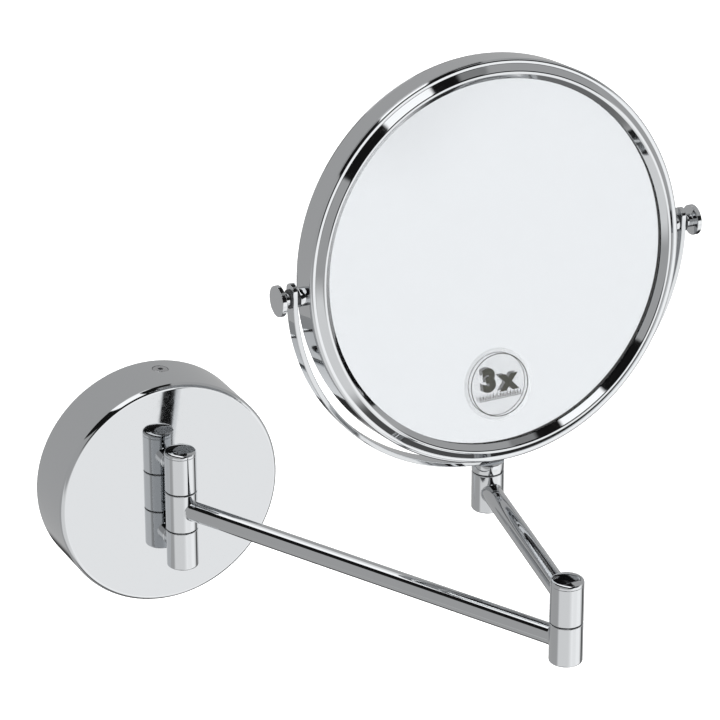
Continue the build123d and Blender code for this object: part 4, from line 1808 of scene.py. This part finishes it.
@dataclass
class Studio:
    """Floor, surround, lamp and camera."""

    floor_drop: float = 1.5
    floor_size: float = 40.0
    surround: float = 0.48
    plain: float = 0.96
    yaw: float = 26.40512
    pitch: float = 24.29145
    roll: float = -0.13374
    lens: float = 187.6328
    sensor: float = 36.0
    far_end: float = 100.0
    eye_at: tuple[float, float, float] = (-0.662943, -1.580405, 0.831791)
    lamp_strength: float = 2.2
    lamp_spread: float = 50.0
    lamp_turn: tuple[float, float, float] = (28.0, -16.0, 0.0)
    # Cards in the order they are laid, each over the ones before it
    cards: tuple[Union[Panel, Sector], ...] = (
        # Two broad cards low in front, the right one brighter: the pale sides of round pieces
        Panel(-154, -38, 49, 24, 0.92, 6.0, 6.0),
        Panel(140, -30, 36, 38, 1.28, 14.0, 4.0),
        # Even light that the magnifying glass and the flat faces show, and a shade at its top
        Sector(90, 190, 0, 9.5, 1.36, 1.0, 3.0),
        Sector(270, 60, 8, 3.5, 1.18, 30.0, 4.0),
        # Dark line round the foot of the rim's ledge
        Sector(275, 60, 44, 7, 0.10, 12.0, 4.0),
        # Dark line down the right of the columns, and one under the drum and the arms
        Panel(81, -26, 6, 12, 0.03, 4.0, 4.0),
        Panel(50, -55, 35, 18, 0.03, 4.0, 4.0),
        # Black streak along upper left edges, split by a white strip, with a grey inset beside it
        Sector(105, 55, 19, 9, 0.02, 12.0, 3.0),
        Sector(116.5, 26.5, 47, 27, 0.01),
        Sector(115.5, 8.5, 53, 23, 1.5),
        Sector(93.5, 4.5, 41, 5, 0.3, 2.0, 3.0),
        # Small light high behind, for the tops of the columns
        Panel(4, 50, 7, 9, 1.1, 3.0, 3.0),
    )

    def sight(self) -> Vector:
        """Direction in which the camera looks."""
        yaw, pitch = math.radians(self.yaw), math.radians(self.pitch)
        return Vector((math.sin(yaw) * math.cos(pitch), math.cos(yaw) * math.cos(pitch), -math.sin(pitch)))

    def camera(self) -> None:
        """Place the camera and make it the scene's."""
        yaw, roll = math.radians(self.yaw), math.radians(self.roll)
        look = self.sight()
        right = Vector((math.cos(yaw), -math.sin(yaw), 0))
        up = right.cross(look)
        right, up = right * math.cos(roll) + up * math.sin(roll), up * math.cos(roll) - right * math.sin(roll)
        data = bpy.data.cameras.new("camera")
        data.lens = self.lens
        data.sensor_width = self.sensor
        data.clip_end = self.far_end
        eye = bpy.data.objects.new("camera", data)
        place = Matrix((right, up, -look)).transposed().to_4x4()
        place.translation = Vector(self.eye_at)
        eye.matrix_world = place
        bpy.context.scene.collection.objects.link(eye)
        bpy.context.scene.camera = eye

    def floor(self) -> None:
        """Lay the plain pale floor, well below the object, and keep it out of reflections."""
        half = self.floor_size / 2
        z = -self.floor_drop
        corners = ((-half, -half), (half, -half), (half, half), (-half, half))
        verts = [Vector((x, y, z)) for x, y in corners]
        floor = finish_mesh("floor", verts, [[0, 1, 2, 3]])
        floor.data.materials.append(PaleFloor().make())
        floor.visible_glossy = False
        floor.visible_transmission = False

    def lamp(self) -> None:
        """One broad soft lamp from above, left out of reflections, for the matt pieces and the floor."""
        data = bpy.data.lights.new("soft_lamp", "SUN")
        data.energy = self.lamp_strength
        data.angle = math.radians(self.lamp_spread)
        lamp = bpy.data.objects.new("soft_lamp", data)
        lamp.rotation_euler = tuple(math.radians(turn) for turn in self.lamp_turn)
        lamp.visible_glossy = False
        lamp.visible_transmission = False
        bpy.context.scene.collection.objects.link(lamp)

    def world(self) -> None:
        """Build the surround: a pale room with light and dark cards, seen only in reflections."""
        world = bpy.data.worlds.new("studio")
        bpy.context.scene.world = world
        world.use_nodes = True
        tree = world.node_tree
        tree.nodes.clear()
        way = add_node(tree, "ShaderNodeTexCoord").outputs["Generated"]
        level: Union[float, Socket] = self.surround
        for card in self.cards:
            mask = card.mask(tree, way, self.sight())
            values = {0: mask, 2: level, 3: card.level}
            level = add_node(tree, "ShaderNodeMix", values, data_type="FLOAT").outputs[0]
        reflected = add_node(tree, "ShaderNodeBackground", {"Color": level})
        plain = add_node(tree, "ShaderNodeBackground", {"Color": (self.plain, self.plain, self.plain, 1.0)})
        straight = add_node(tree, "ShaderNodeLightPath").outputs["Is Camera Ray"]
        parts = {0: straight, 1: reflected.outputs[0], 2: plain.outputs[0]}
        both = add_node(tree, "ShaderNodeMixShader", parts)
        add_node(tree, "ShaderNodeOutputWorld", {"Surface": both.outputs[0]})

    def build(self) -> None:
        """Set up everything round the object."""
        self.camera()
        self.floor()
        self.world()
        self.lamp()
        bpy.context.scene.view_settings.view_transform = "Standard"
        LOG.info("studio ready")


# ------------------------------------------------------------------ all of it


def main() -> None:
    """Build the studio and the mirror in order."""
    logging.basicConfig(level=logging.INFO, format="%(name)s: %(message)s")
    Studio().build()
    swivel = centre_of("swivel_knuckle")
    centre = Vector((swivel.x, swivel.y, centre_of("left_pivot_stud").z))
    WallBase().build()
    HingeColumns().build()
    Arm("inner_arm_tube", "wall_knuckle_middle", "elbow_knuckle_lower", Body.INNER_ARM).build()
    Arm("outer_arm_tube", "elbow_knuckle_upper", "swivel_knuckle", Body.OUTER_ARM).build()
    Yoke().build(centre)
    head = MirrorHead()
    head.build(centre)
    PowerLabel(head).build(centre)
    TiltPivots().build(centre)


if __name__ == "__main__":
    main()
